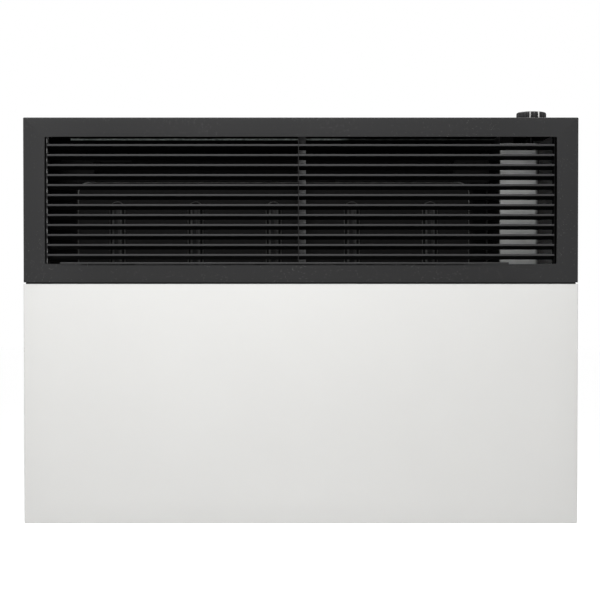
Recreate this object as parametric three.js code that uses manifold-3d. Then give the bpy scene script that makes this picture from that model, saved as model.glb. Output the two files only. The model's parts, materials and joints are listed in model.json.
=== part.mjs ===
// Wall mounted balanced-flue gas heater: a louvred hood, a plain lower panel and one control knob on top.
// Millimetres. +Z is up, the wall is the plane y = 0 and the front faces -Y.
// Heights count from the cabinet's lower edge. The finished group is lowered so that its origin lies on
// the upper wall rail, on the wall plane.

import * as THREE from 'three';
import { mergeVertices } from 'three/addons/utils/BufferGeometryUtils.js';
import Module from 'manifold-3d';

const wasm = await Module();
wasm.setup();

// ---------------------------------------------------------------- driving dimensions

// Air left between two pieces that seat on each other, and how far a cut runs past the face it opens.
const clearance = 0.3;
const overcut = 1;

// Cabinet: black hood above, white panel below, one folded sheet each.
const cabinetWidth = 925;
const cabinetHeight = 678;
const cabinetDepth = 245;
const caseSheet = 1.2;
const caseCorner = 2.5;
const caseInsideCorner = 1.9;
const seamGap = 1;
const caseToWall = 5;
const panelFrontReturn = 18;
const panelSideReturn = 14;
const jointStripHeight = 30;
const jointStripSheet = 1.2;

// Window in the hood, and the rolled sill along most of its lower edge.
const openingToSide = 35.5;
const openingHeight = 209;
const openingBelowTop = 33;
const hoodBelowOpening = 35.5;
const openingCorner = 2;
const sillFromLeft = 26;
const sillFromRight = 80;
const sillDepth = 8;
const sillRise = 2;
const sillSheet = 1.2;
const sillRoll = 2;

// Louvre blades: a front lip folded down from a leaf that falls towards the back.
const bladePitch = 16.65;
const bladeEndGap = 3;
const bladeDepth = 14;
const bladeDrop = 9.3;
const bladeLip = 4.3;
const bladeSheet = 1.2;
const bladeRecess = 2;
const bladeEndRadius = 2;
const firstBladeBelowOpening = 10.2;
const lastBladeAboveOpening = 15;

// Three slotted posts that carry the blades.
const postSheet = 1.2;
const postDepth = 22;
const postFlange = 13;
const postFoot = 17;
const postFootGap = 3;
const bladePastPost = 0;
const centrePostX = -4.5;

// Chassis: back plate on two hat-shaped rails.
const chassisSheet = 1.2;
const wallToBackPlate = 18;
const backPlateSideGap = 3;
const backPlateBottom = 20;
const backPlateBelowTop = 10;
const backPlateFlange = 14;
const flueHoleGap = 1.2;
const railFromSide = 112.5;
const railWeb = 30;
const railFlange = 14;
const railSheet = 1.5;
const railAboveFlue = 120;
const lowerRailHeight = 105;
const wallHoleRadius = 4;
const wallHoleFromRailEnd = 70;

// Cover fixings.
const coverBracketWidth = 36;
const coverBracketFromSide = 62.5;
const coverBracketRise = 30;
const coverBracketLap = 12;
const coverHookWidth = 40;
const coverHookFromSide = 142.5;
const coverHookDrop = 24;
const coverHookLap = 16;

// Air deflector under the hood's roof.
const deflectorFromSide = 72.5;
const deflectorToShield = 11;
const deflectorFrontSetback = 45;
const deflectorBelowTop = 32;
const deflectorFall = 12;
const deflectorSheet = 1.2;
const deflectorHem = 3;
const deflectorFoot = 14;

// Combustion chamber: two pressed shells, flange to flange.
const chamberFromSide = 69;
const chamberToShield = 40.5;
const chamberBottom = 150;
const chamberBelowTop = 92;
const chamberSheet = 1.5;
const chamberFlange = 10;
const chamberFlangeCorner = 28;
const chamberCorner = 20;
const chamberEdge = 16;
const chamberSeamToWall = 115;
const frontShellDepth = 55;
const rearShellDepth = 52;
const chamberGasket = 2;
const strapWidth = 62;
const strapInset = 30;
const strapBelowDeflector = 3;
const strapSheet = 1.5;
const strapToShell = 1;
const strapFoot = 14;

// Pressed beads on the chamber's front.
const beadPitch = 134;
const beadToCurve = 20;
const beadCrest = 12.5;
const beadSide = 7.5;
const beadHeight = 7;
const beadBelowTop = 43;
const beadAboveDoor = 21;

// Burner door low on the chamber's front, with its sight glass.
const doorWidth = 430;
const doorHeight = 98;
const doorToChamberEnd = 55.5;
const doorAboveChamberBottom = 37;
const doorLap = 14;
const doorSheet = 2;
const doorGasket = 2;
const doorCorner = 10;
const doorOpeningCorner = 5;
const sightFromDoorEnd = 55;
const sightOpening = 15;
const sightGlassRadius = 19;
const sightGlassThickness = 3;
const sightFrameRadius = 26;
const sightFrameSheet = 1.5;

// Balanced flue: exhaust pipe inside the air intake pipe.
const flueBelowChamberTop = 116;
const exhaustRadius = 31.5;
const exhaustPastWall = 35;
const intakeRadius = 55;
const intakePastWall = 25;
const flueWall = 1.5;
const flueFlange = 9;
const airDuctWidth = 190;
const airDuctAboveChamberBottom = 25;
const airDuctAboveFlue = 80;
const airDuctSheet = 1.2;
const airDuctFlange = 12;
const airDuctCorner = 12;
const airDuctToBackPlate = 4;
const airPortWidth = 120;
const airPortHeight = 40;
const airPortCorner = 10;
const airPortInset = 16;

// Tube burner inside the chamber.
const burnerFromChamberLeft = 93.5;
const burnerFromChamberRight = 130.5;
const burnerRadius = 16;
const burnerWall = 1.2;
const burnerBelowDoorMiddle = 4;
const burnerThroat = 10;
const burnerShoulderBack = 66;
const burnerThroatBack = 42;
const burnerThroatLength = 14;
const burnerBell = 15;
const portPitch = 17;
const portWidth = 3;
const portLength = 16;
const firstPortInset = 20;
const lastPortInset = 60;
const saddleSheet = 2;
const saddleSpacing = 240;
const saddleLeftOfPilot = 50;
const saddleFoot = 12;
const saddleBelowBurner = 6;
const injectorRadius = 7;
const injectorGap = 8;
const injectorLength = 22;
const injectorNose = 4;
const injectorNoseRadius = 4.2;
const injectorStemRadius = 6;
const injectorBore = 1.4;
const injectorJetDepth = 7;

// Pilot, thermocouple and spark electrode stand in a row behind the burner door.
const pilotRadius = 5;
const pilotAboveBurner = 30;
const pilotSetback = 22;
const pilotSocketDepth = 4;
const pilotWall = 1.5;
const pilotHood = 14;
const pilotHoodRise = 6;
const pilotHoodLap = 8;
const probeSpacing = 16;
const probeFoot = 6;
const thermocoupleRadius = 3;
const thermocoupleTip = 7;
const thermocoupleTaper = 3.5;
const thermocoupleShoulder = 1.5;
const electrodeRadius = 4;
const electrodeInside = 10;
const electrodeWire = 1;
const sparkGap = 3;
const probeAboveBurner = 16;

// Control shaft: knob on top, rod down to the valve.
const knobFromSide = 60.5;
const knobSetback = 120;
const knobRadius = 26;
const knobHeight = 15;
const knobStandoff = 6;
const knobEdge = 2;
const knobWall = 2.6;
const knobHub = 8;
const knobHubBelowTop = 1;
const fluteCount = 24;
const fluteDepth = 1.1;
const pointerWidth = 1.6;
const pointerDepth = 0.5;
const pointerAngle = 21;
const rodRadius = 4;
const rodSquare = 5.2;
const runningGap = 0.4;
const pressTravel = 5;

// Gas valve with its turning socket, on a shelf behind the galvanised shield.
const shelfHeight = 140;
const shelfSheet = 1.5;
const shelfDepth = 155;
const shelfPastValve = 1;
const shelfFoot = 26;
const shelfHoleGap = 1;
const valveWidth = 86;
const valveDepth = 62;
const valveHeight = 58;
const valveCorner = 8;
const valveEdge = 2;
const towerRadius = 20;
const towerHeight = 14;
const spindleRadius = 8;
const spindleDepth = 9;
const spindleHeight = 22;
const socketFloor = 3;
const portBossLength = 12;
const mainPortRadius = 10;
const smallPortRadius = 6;
const mainPortRise = 18;
const smallPortRise = 42;
const inletRadius = 13;
const inletNut = 17;
const inletLength = 46;
const inletNutHeight = 14;
const inletBore = 6.5;
const inletBoreFloor = 6;

// Galvanised shield between the hot chamber and the controls.
const shieldToPorts = 6;
const shieldWidth = 69;
const shieldToValve = 6;
const shieldBelowGuide = 14;
const shieldSheet = 1.2;
const shieldBend = 3;
const shieldReturn = 7;

// Rod guide at the top of the shield, which holds the igniter too.
const guideBelowTop = 23;
const guideSheet = 1.5;
const guideFrontLap = 6;
const guideRight = 30;
const guideTabWidth = 22;
const guideTabDrop = 30;
const guideLegDrop = 50;

// Piezo igniter behind the knob.
const igniterBehindKnob = 46;
const igniterRadius = 9;
const igniterCollar = 12;
const igniterCollarHeight = 3;
const igniterNeck = 6.5;
const igniterTailLength = 52;
const igniterHead = 3;
const buttonRadius = 7;
const buttonHeight = 7;
const buttonEdge = 1;
const buttonStem = 4.5;
const buttonTravel = 5;
const buttonStemLength = 14;
const roofHoleGap = 1.5;

// Pipes and leads.
const mainTubeRadius = 5;
const pilotTubeRadius = 2;
const leadRadius = 1.5;
const ignitionLeadRadius = 2;
const pipeBend = 14;
const pipeLane = 26;
const pipeElbow = 7;
const leadLane = 12;
const leadLaneDrop = 16;
const leadLaneInset = 36;
const pilotLaneDrop = 18;
const pilotLane = 39;
const pilotLaneInset = 16;
const ignitionLaneInset = 10;
const ignitionAboveDoor = 12;
const pipeGrommet = 1.5;
const electrodeReach = 14;
const ignitionLane = 10;
const capillaryPastShelf = 3;
const leadDropBelowTail = 30;

// Thermostat bulb low on the back plate.
const bulbRadius = 4.5;
const bulbLength = 96;
const bulbLeftOfRod = 7;
const bulbHeight = 78;
const bulbToBackPlate = 16;
const bulbClipSpacing = 60;
const bulbClipWidth = 8;
const bulbClipSheet = 1.5;
const bulbClipFoot = 6;

// ---------------------------------------------------------------- places that follow

const half = cabinetWidth / 2;
const front = -cabinetDepth;
const frontInside = front + caseSheet;
const roofInside = cabinetHeight - caseSheet;
const sideInside = half - caseSheet;
const openingHalf = half - openingToSide;
const openingTop = cabinetHeight - openingBelowTop;
const openingBottom = openingTop - openingHeight;
const windowBottom = openingBottom - sillRise;
const hoodBottom = openingBottom - hoodBelowOpening;
const panelHeight = hoodBottom - seamGap;
const sillLeft = sillFromLeft - openingHalf;
const sillRight = openingHalf - sillFromRight;
const bladeHalf = openingHalf - bladeEndGap;
const bladeFace = front + bladeRecess;
const backPlateRear = -wallToBackPlate;
const backPlateFront = backPlateRear - chassisSheet;
const backPlateHalf = sideInside - backPlateSideGap;
const backPlateTop = cabinetHeight - backPlateBelowTop;
const rodX = half - knobFromSide;
const rodY = front + knobSetback;
const valveLeft = rodX - valveWidth / 2;
const valveRight = rodX + valveWidth / 2;
const valveFront = rodY - valveDepth / 2;
const shieldLeft = valveLeft - portBossLength - shieldToPorts;
const chamberLeft = chamberFromSide - half;
const chamberRight = shieldLeft - chamberToShield;
const chamberCentre = (chamberLeft + chamberRight) / 2;
const chamberHalf = (chamberRight - chamberLeft) / 2;
const chamberTop = cabinetHeight - chamberBelowTop;
const deflectorHigh = cabinetHeight - deflectorBelowTop;
const deflectorLow = deflectorHigh - deflectorFall;
const seamPlane = -chamberSeamToWall;
const frontFlangeRear = seamPlane - chamberGasket / 2 - clearance;
const rearFlangeFront = seamPlane + chamberGasket / 2 + clearance;
const chamberFace = frontFlangeRear - frontShellDepth;
const chamberBack = rearFlangeFront + rearShellDepth;
const flueHeight = chamberTop - flueBelowChamberTop;
const airDuctBottom = chamberBottom + airDuctAboveChamberBottom;
const airDuctTop = flueHeight + airDuctAboveFlue;
const upperRailHeight = flueHeight + railAboveFlue;
const doorLow = chamberBottom + doorAboveChamberBottom;
const doorHigh = doorLow + doorHeight;
const doorMiddleHeight = (doorLow + doorHigh) / 2;
const doorHalf = doorWidth / 2;
const doorCentre = chamberRight - doorToChamberEnd - doorHalf;
const sightX = doorCentre - doorHalf + sightFromDoorEnd;
const doorGasketRear = chamberFace - clearance;
const doorRear = doorGasketRear - doorGasket - clearance;
const doorFace = doorRear - doorSheet;
const ductRear = backPlateFront - airDuctToBackPlate;
const burnerY = seamPlane;
const burnerLeft = chamberLeft + burnerFromChamberLeft;
const burnerRight = chamberRight - burnerFromChamberRight;
const burnerHeight = doorMiddleHeight - burnerBelowDoorMiddle;
const injectorX = burnerRight + injectorGap;
const injectorMiddle = injectorX + injectorLength / 2;
const pilotX = doorCentre;
const thermocoupleX = pilotX + probeSpacing;
const electrodeX = pilotX - probeSpacing;
const probeY = doorRear + pilotSetback;
const pilotHeight = burnerHeight + pilotAboveBurner;
const probeEntryHeight = burnerHeight + probeAboveBurner;
const leadLaneHeight = doorLow - leadLaneDrop;
const pilotLaneHeight = leadLaneHeight - pilotLaneDrop;
const igniterY = rodY + igniterBehindKnob;
const shieldFace = valveFront - shieldToValve - shieldReturn - shieldBend;
const shieldRight = shieldLeft + shieldWidth;
const shieldBottom = shelfHeight + clearance;
const valveBottom = shelfHeight + clearance;
const valveTop = valveBottom + valveHeight;
const towerTop = valveTop + towerHeight;
const spindleBottom = towerTop - spindleDepth;
const spindleTop = spindleBottom + spindleHeight;
const rodBottom = spindleBottom + socketFloor + pressTravel + runningGap;
const knobBottom = cabinetHeight + knobStandoff;
const knobTop = knobBottom + knobHeight;
const rodTop = knobTop - knobWall - clearance;
const guideHeight = cabinetHeight - guideBelowTop;
const guideTop = guideHeight + guideSheet;
const shieldTop = guideHeight - shieldBelowGuide;
const igniterTail = guideHeight - igniterTailLength;
const leadDropHeight = igniterTail - clearance - leadDropBelowTail;
const igniterCollarTop = guideTop + clearance + igniterCollarHeight;
const igniterTop = igniterCollarTop + igniterHead;
const shelfRight = valveRight + shelfPastValve;
const smallPortShift = valveDepth / 4;
const portFace = valveLeft - portBossLength - clearance;
const mainPortHeight = valveBottom + mainPortRise;
const smallPortHeight = valveBottom + smallPortRise;
const bulbCentre = rodX - bulbLeftOfRod;
const bulbY = backPlateFront - bulbToBackPlate;

// ---------------------------------------------------------------- solids from geometry

const alongX = new THREE.Matrix4().makeBasis(
  new THREE.Vector3(0, 1, 0),
  new THREE.Vector3(0, 0, 1),
  new THREE.Vector3(1, 0, 0),
);
const alongY = new THREE.Matrix4().makeBasis(
  new THREE.Vector3(1, 0, 0),
  new THREE.Vector3(0, 0, 1),
  new THREE.Vector3(0, -1, 0),
);

// A closed geometry as a solid that can be joined and cut.
function toSolid(geometry) {
  const bare = geometry.clone();
  bare.deleteAttribute('normal');
  bare.deleteAttribute('uv');
  const merged = mergeVertices(bare, 1e-4);
  const mesh = new wasm.Mesh({
    numProp: 3,
    vertProperties: new Float32Array(merged.attributes.position.array),
    triVerts: new Uint32Array(merged.index.array),
  });
  return new wasm.Manifold(mesh);
}

// A solid back as a geometry.
function toGeometry(solid) {
  const { vertProperties, triVerts } = solid.getMesh();
  const geometry = new THREE.BufferGeometry();
  geometry.setAttribute('position', new THREE.BufferAttribute(vertProperties, 3));
  geometry.setIndex(new THREE.BufferAttribute(triVerts, 1));
  geometry.computeVertexNormals();
  return geometry;
}

function join(first, ...others) {
  return others.reduce((sum, solid) => sum.add(solid), first);
}

function cut(first, ...others) {
  return others.reduce((rest, solid) => rest.subtract(solid), first);
}

// A plan outline, drawn in x and y, raised from one height to another.
function raise(shape, bottom, top, arcSteps = 3) {
  const options = { depth: top - bottom, bevelEnabled: false, curveSegments: arcSteps };
  return toSolid(new THREE.ExtrudeGeometry(shape, options).translate(0, 0, bottom));
}

// A front-view outline, drawn in x and z, between two depths y.
function frontal(shape, near, far, arcSteps = 3) {
  const options = { depth: far - near, bevelEnabled: false, curveSegments: arcSteps };
  const geometry = new THREE.ExtrudeGeometry(shape, options);
  return toSolid(geometry.applyMatrix4(alongY).translate(0, far, 0));
}

// A side-view outline, drawn in y and z, between two places x.
function sideways(shape, left, right, arcSteps = 3) {
  const options = { depth: right - left, bevelEnabled: false, curveSegments: arcSteps };
  const geometry = new THREE.ExtrudeGeometry(shape, options);
  return toSolid(geometry.applyMatrix4(alongX).translate(left, 0, 0));
}

function block(x0, x1, y0, y1, z0, z1) {
  const geometry = new THREE.BoxGeometry(x1 - x0, y1 - y0, z1 - z0);
  return toSolid(geometry.translate((x0 + x1) / 2, (y0 + y1) / 2, (z0 + z1) / 2));
}

function polygon(points) {
  return new THREE.Shape(points.map(([a, b]) => new THREE.Vector2(a, b)));
}

function disc(a, b, radius) {
  return new THREE.Shape().absarc(a, b, radius, 0, 2 * Math.PI);
}

// A rectangle with rounded corners between two opposite corners.
function roundedRectangle(a0, a1, b0, b1, radius) {
  const shape = new THREE.Shape();
  shape.absarc(a1 - radius, b0 + radius, radius, -Math.PI / 2, 0);
  shape.absarc(a1 - radius, b1 - radius, radius, 0, Math.PI / 2);
  shape.absarc(a0 + radius, b1 - radius, radius, Math.PI / 2, Math.PI);
  shape.absarc(a0 + radius, b0 + radius, radius, Math.PI, Math.PI * 1.5);
  return shape;
}

// The same outline moved outwards by a distance, corners mitred.
function outset(points, distance) {
  return points.map((point, i) => {
    const before = points[(i + points.length - 1) % points.length];
    const after = points[(i + 1) % points.length];
    const a = new THREE.Vector2(point[0] - before[0], point[1] - before[1]).normalize();
    const b = new THREE.Vector2(after[0] - point[0], after[1] - point[1]).normalize();
    const normal = new THREE.Vector2(a.y + b.y, -a.x - b.x).normalize();
    const reach = distance / (normal.x * a.y - normal.y * a.x);
    return [point[0] + normal.x * reach, point[1] + normal.y * reach];
  });
}

// A closed profile of radius and height, turned about a line that stands at (x, y).
function turned(profile, x, y, sides = 20) {
  const points = profile.map(([radius, height]) => new THREE.Vector2(radius, height));
  const geometry = new THREE.LatheGeometry(points, sides);
  return toSolid(geometry.rotateX(Math.PI / 2).translate(x, y, 0));
}

// The same, turned about a line along y through (x, z): the profile gives radius and y.
function turnedFlat(profile, x, z, sides = 20) {
  const points = profile.map(([radius, y]) => new THREE.Vector2(radius, y));
  return toSolid(new THREE.LatheGeometry(points, sides).translate(x, 0, z));
}

// A path with straight runs and round bends, sampled only where it turns.
class BentPath extends THREE.Curve {
  constructor(corners, bend) {
    super();
    const turnSteps = 3;
    this.samples = [corners[0]];
    for (let i = 1; i < corners.length - 1; i += 1) {
      const back = corners[i - 1].clone().sub(corners[i]);
      const ahead = corners[i + 1].clone().sub(corners[i]);
      const radius = Math.min(bend, back.length() * 0.45, ahead.length() * 0.45);
      const start = corners[i].clone().addScaledVector(back.normalize(), radius);
      const end = corners[i].clone().addScaledVector(ahead.normalize(), radius);
      const arc = new THREE.QuadraticBezierCurve3(start, corners[i], end);
      this.samples.push(...arc.getPoints(turnSteps));
    }
    this.samples.push(corners[corners.length - 1]);
    this.steps = this.samples.length - 1;
  }

  getUtoTmapping(u) {
    return u;
  }

  getPoint(t, target = new THREE.Vector3()) {
    const place = Math.min(Math.max(t, 0), 1) * this.steps;
    const i = Math.min(Math.floor(place), this.steps - 1);
    return target.lerpVectors(this.samples[i], this.samples[i + 1], place - i);
  }
}

// A round tube or wire along corner points.
function pipe(corners, radius, bend = pipeBend, sides = 8) {
  const points = corners.map(([x, y, z]) => new THREE.Vector3(x, y, z));
  const path = new BentPath(points, bend);
  const ring = Array.from({ length: sides }, (_, i) => {
    const angle = (i / sides) * 2 * Math.PI;
    return [radius * Math.cos(angle), radius * Math.sin(angle)];
  });
  return toSolid(new THREE.ExtrudeGeometry(polygon(ring), { steps: path.steps, extrudePath: path }));
}

// ---------------------------------------------------------------- finishes

function finish(colour, roughness, metalness = 0) {
  return { color: colour, roughness, metalness };
}

const blackPaint = finish(0x3a3a3b, 0.55);
const whitePaint = finish(0xe4e6e2, 0.4);
const galvanised = finish(0x9fa19f, 0.45, 0.8);
const heatBlack = finish(0x1c1b1a, 0.7, 0.3);
const stainless = finish(0xa8a5a0, 0.35, 0.9);
const brass = finish(0xb08d45, 0.35, 0.9);
const castAluminium = finish(0xb5b7b8, 0.5, 0.8);
const blackPlastic = finish(0x151515, 0.45);
const fibre = finish(0xc9c4b6, 0.95);
const glass = finish(0xcfdcd8, 0.05);
const ceramic = finish(0xe9e6dc, 0.3);
const copper = finish(0xa7673f, 0.35, 0.9);
const rubberLead = finish(0x2a2a2a, 0.6);

const heater = new THREE.Group();
heater.position.z = -upperRailHeight;

function addPart(name, solid, look) {
  const mesh = new THREE.Mesh(toGeometry(solid), new THREE.MeshStandardMaterial(look));
  mesh.name = name;
  heater.add(mesh);
}

// ---------------------------------------------------------------- cover

// The block that a case of this size fills, with its upright front corners and its upper edges rounded.
function caseBlock(side, face, rear, bottom, top, radius, roundTop) {
  const plan = roundedRectangle(-side, side, face, rear + radius, radius);
  const far = rear + radius + overcut;
  const behind = block(-side - overcut, side + overcut, rear, far, bottom - overcut, top + overcut);
  const body = raise(plan, bottom, top).subtract(behind);
  if (!roundTop) {
    return body;
  }
  const sideView = roundedRectangle(face, rear + 2 * radius, bottom - 2 * radius, top, radius);
  const frontView = roundedRectangle(-side, side, bottom - 2 * radius, top, radius);
  return body.intersect(sideways(sideView, -side, side)).intersect(frontal(frontView, face, rear));
}

// Window through the hood's face.
function hoodWindow() {
  const outline = roundedRectangle(-openingHalf, openingHalf, windowBottom, openingTop, openingCorner);
  return frontal(outline, front - overcut, frontInside + overcut);
}

// Side view of the sill: the sheet rolls over inwards at the window's lower edge.
function sillOutline(gap = 0) {
  const roll = sillRoll;
  const foot = windowBottom - 2 * sillSheet;
  const shape = new THREE.Shape();
  shape.moveTo(front - gap, foot);
  shape.lineTo(front - gap, openingBottom - roll);
  shape.absarc(front + roll, openingBottom - roll, roll + gap, Math.PI, Math.PI / 2, true);
  shape.lineTo(front + sillDepth + gap, openingBottom + gap);
  shape.lineTo(front + sillDepth + gap, openingBottom - sillSheet - gap);
  shape.lineTo(front + roll, openingBottom - sillSheet - gap);
  shape.lineTo(frontInside, foot);
  return shape;
}

// A round hole up through the hood's roof.
function roofHole(y, radius) {
  return raise(disc(rodX, y, radius), roofInside - overcut, cabinetHeight + overcut);
}

function hood() {
  const rear = -caseToWall;
  const outside = caseBlock(half, front, rear, hoodBottom, cabinetHeight, caseCorner, true);
  const behind = rear + overcut;
  const below = hoodBottom - overcut;
  const inside = caseBlock(sideInside, frontInside, behind, below, roofInside, caseInsideCorner, true);
  const knobHole = roofHole(rodY, rodRadius + roofHoleGap);
  const buttonHole = roofHole(igniterY, buttonRadius + roofHoleGap);
  const shell = cut(outside, inside, hoodWindow(), knobHole, buttonHole);
  return shell.add(sideways(sillOutline(), sillLeft, sillRight));
}

function frontPanel() {
  const rear = -caseToWall;
  const outside = caseBlock(half, front, rear, 0, panelHeight, caseCorner, false);
  const behind = rear + overcut;
  const above = panelHeight + overcut;
  const inside = caseBlock(sideInside, frontInside, behind, caseSheet, above, caseInsideCorner, false);
  const open = sideInside - panelSideReturn;
  const near = front + panelFrontReturn;
  const openBottom = block(-open, open, near, behind, -overcut, caseSheet + overcut);
  return cut(outside, inside, openBottom);
}

// Strip behind the seam, which the hood and the panel are both fixed to.
function jointStrip() {
  const seam = panelHeight + seamGap / 2;
  const reach = sideInside - caseCorner;
  const near = frontInside + clearance;
  const low = seam - jointStripHeight / 2;
  const high = seam + jointStripHeight / 2;
  return block(-reach, reach, near, near + jointStripSheet, low, high);
}

// ---------------------------------------------------------------- louvre grille

// Side view of a blade with its upper front corner at (y, z).
function bladeOutline(y, z) {
  const slope = Math.atan2(bladeDrop, bladeDepth);
  const rear = [y + bladeDepth, z - bladeDrop];
  const under = [rear[0] - bladeSheet * Math.sin(slope), rear[1] - bladeSheet * Math.cos(slope)];
  const run = (under[0] - y - bladeSheet) / Math.cos(slope);
  return [
    [y, z - bladeLip],
    [y + bladeSheet, z - bladeLip],
    [y + bladeSheet, under[1] + run * Math.sin(slope)],
    under,
    rear,
    [y, z],
  ];
}

// Heights of the blades' upper front corners, as many as the opening takes.
function bladeHeights() {
  const first = openingTop - firstBladeBelowOpening;
  const run = first - openingBottom - lastBladeAboveOpening;
  const count = Math.floor(run / bladePitch) + 1;
  return Array.from({ length: count }, (_, i) => first - i * bladePitch);
}

const bladeTops = bladeHeights();

// One blade: the folded strip, with the corners of its ends rounded.
function blade(top) {
  const strip = sideways(polygon(bladeOutline(bladeFace, top)), -bladeHalf, bladeHalf);
  const underside = top - bladeDrop - bladeSheet;
  const ends = roundedRectangle(-bladeHalf, bladeHalf, underside, top, bladeEndRadius);
  return strip.intersect(frontal(ends, bladeFace - overcut, bladeFace + bladeDepth + overcut));
}

// Post with its web from `webLeft`, and its rear flange and feet to one side of the web.
function post(webLeft, side) {
  const webRight = webLeft + postSheet;
  const near = frontInside + clearance;
  const far = near + postDepth;
  const low = openingBottom - postFoot;
  const high = openingTop + postFoot;
  const flangeLeft = side > 0 ? webLeft : webRight - postFlange;
  const flangeRight = flangeLeft + postFlange;
  const web = block(webLeft, webRight, near, far, low, high);
  const flange = block(flangeLeft, flangeRight, far - postSheet, far, low, high);
  const lowFootTop = windowBottom - postFootGap;
  const lowFoot = block(flangeLeft, flangeRight, near, near + postSheet, low, lowFootTop);
  const highFootBottom = openingTop + postFootGap;
  const highFoot = block(flangeLeft, flangeRight, near, near + postSheet, highFootBottom, high);
  const slots = bladeTops.map((top) => {
    const outline = outset(bladeOutline(bladeFace, top), clearance);
    return sideways(polygon(outline), webLeft - overcut, webRight + overcut);
  });
  const sillNotch = sideways(sillOutline(clearance), sillLeft - clearance, sillRight + clearance);
  return cut(join(web, flange, lowFoot, highFoot), ...slots, sillNotch);
}

// ---------------------------------------------------------------- chassis

function backPlate() {
  const side = backPlateHalf;
  const sheet = chassisSheet;
  const web = block(-side, side, backPlateFront, backPlateRear, backPlateBottom, backPlateTop);
  const near = backPlateFront - backPlateFlange;
  const left = block(-side, -side + sheet, near, backPlateRear, backPlateBottom, backPlateTop);
  const right = block(side - sheet, side, near, backPlateRear, backPlateBottom, backPlateTop);
  const round = disc(chamberCentre, flueHeight, intakeRadius + flueHoleGap);
  const hole = frontal(round, backPlateFront - overcut, backPlateRear + overcut, 12);
  return cut(join(web, left, right), hole);
}

// Hat-shaped rail: its web lies on the wall and its two flanges carry the back plate.
function wallRail(height) {
  const far = -railSheet;
  const near = backPlateRear + clearance;
  const web = railWeb / 2;
  const edge = web + railFlange;
  const outline = polygon([
    [0, height - web],
    [0, height + web],
    [near + railSheet, height + web],
    [near + railSheet, height + edge],
    [near, height + edge],
    [near, height + web - railSheet],
    [far, height + web - railSheet],
    [far, height - web + railSheet],
    [near, height - web + railSheet],
    [near, height - edge],
    [near + railSheet, height - edge],
    [near + railSheet, height - web],
  ]);
  const end = half - railFromSide;
  const holes = [-1, 1].map((side) => {
    const x = side * (end - wallHoleFromRailEnd);
    return frontal(disc(x, height, wallHoleRadius), far - overcut, overcut);
  });
  return cut(sideways(outline, -end, end), ...holes);
}

// Lower bracket: from the back plate forward onto the panel's front return.
function coverBracket(side) {
  const centre = side * (half - coverBracketFromSide);
  const left = centre - coverBracketWidth / 2;
  const right = centre + coverBracketWidth / 2;
  const low = caseSheet + clearance;
  const sheet = chassisSheet;
  const rear = backPlateFront - clearance;
  const near = front + panelFrontReturn - coverBracketLap;
  const outline = polygon([
    [near, low],
    [rear, low],
    [rear, backPlateBottom + coverBracketRise],
    [rear - sheet, backPlateBottom + coverBracketRise],
    [rear - sheet, low + sheet],
    [near, low + sheet],
  ]);
  return sideways(outline, left, right);
}

// Hook under the hood's roof that drops behind the upper edge of the back plate.
function coverHook(side) {
  const centre = side * (half - coverHookFromSide);
  const sheet = chassisSheet;
  const roof = roofInside - clearance;
  const rear = backPlateRear + clearance + sheet;
  const near = rear - sheet - coverHookLap;
  const low = backPlateTop - coverHookDrop;
  const outline = polygon([
    [near, roof - sheet],
    [rear - sheet, roof - sheet],
    [rear - sheet, low],
    [rear, low],
    [rear, roof],
    [near, roof],
  ]);
  return sideways(outline, centre - coverHookWidth / 2, centre + coverHookWidth / 2);
}

// Sheet that turns the rising air forward, out through the louvres.
function topDeflector() {
  const near = front + deflectorFrontSetback;
  const rear = backPlateFront - clearance;
  const sheet = deflectorSheet;
  const outline = polygon([
    [near, deflectorHigh - deflectorHem],
    [near + sheet, deflectorHigh - deflectorHem],
    [near + sheet, deflectorHigh - sheet],
    [rear - sheet, deflectorLow - sheet],
    [rear - sheet, deflectorLow - deflectorFoot],
    [rear, deflectorLow - deflectorFoot],
    [rear, deflectorLow],
    [near, deflectorHigh],
  ]);
  return sideways(outline, deflectorFromSide - half, shieldLeft - deflectorToShield);
}

// ---------------------------------------------------------------- combustion chamber

// A solid with rounded front and rear edges, from y = -depth to y = edge, drawn in the front view.
function dishBlock(side, low, high, corner, edge, depth) {
  const outline = roundedRectangle(-side + edge, side - edge, low + edge, high - edge, corner - edge);
  const options = {
    depth: depth - edge,
    bevelEnabled: true,
    bevelThickness: edge,
    bevelSize: edge,
    bevelSegments: 3,
    curveSegments: 2,
  };
  return toSolid(new THREE.ExtrudeGeometry(outline, options).applyMatrix4(alongY));
}

// Upright bead with sloping sides and round ends, its crest at y = crestY.
function beadBlock(centre, crest, side, low, high, crestY) {
  const radius = crest / 2;
  const outline = new THREE.Shape();
  outline.absarc(centre, low + radius + side, radius, Math.PI, 2 * Math.PI);
  outline.absarc(centre, high - radius - side, radius, 0, Math.PI);
  const options = {
    depth: beadHeight,
    bevelEnabled: true,
    bevelThickness: beadHeight,
    bevelSize: side,
    bevelSegments: 1,
    curveSegments: 3,
  };
  const geometry = new THREE.ExtrudeGeometry(outline, options).applyMatrix4(alongY);
  return toSolid(geometry.translate(0, crestY + 2 * beadHeight, 0));
}

// Pressed shell that opens towards +Y: its flange lies in front of y = 0 and its face at y = -depth.
function pressedShell(depth) {
  const bodyHalf = chamberHalf - chamberFlange;
  const low = chamberBottom + chamberFlange;
  const high = chamberTop - chamberFlange;
  const sheet = chamberSheet;
  const outside = dishBlock(bodyHalf, low, high, chamberCorner, chamberEdge, depth);
  const inside = dishBlock(
    bodyHalf - sheet,
    low + sheet,
    high - sheet,
    chamberCorner - sheet,
    chamberEdge - sheet,
    depth - sheet,
  );
  const rim = roundedRectangle(-chamberHalf, chamberHalf, chamberBottom, chamberTop, chamberFlangeCorner);
  const flange = frontal(rim, -sheet, 0);
  const behind = block(-chamberHalf, chamberHalf, 0, depth, chamberBottom, chamberTop);
  return { body: cut(outside, behind).add(flange), hollow: inside };
}

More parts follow.
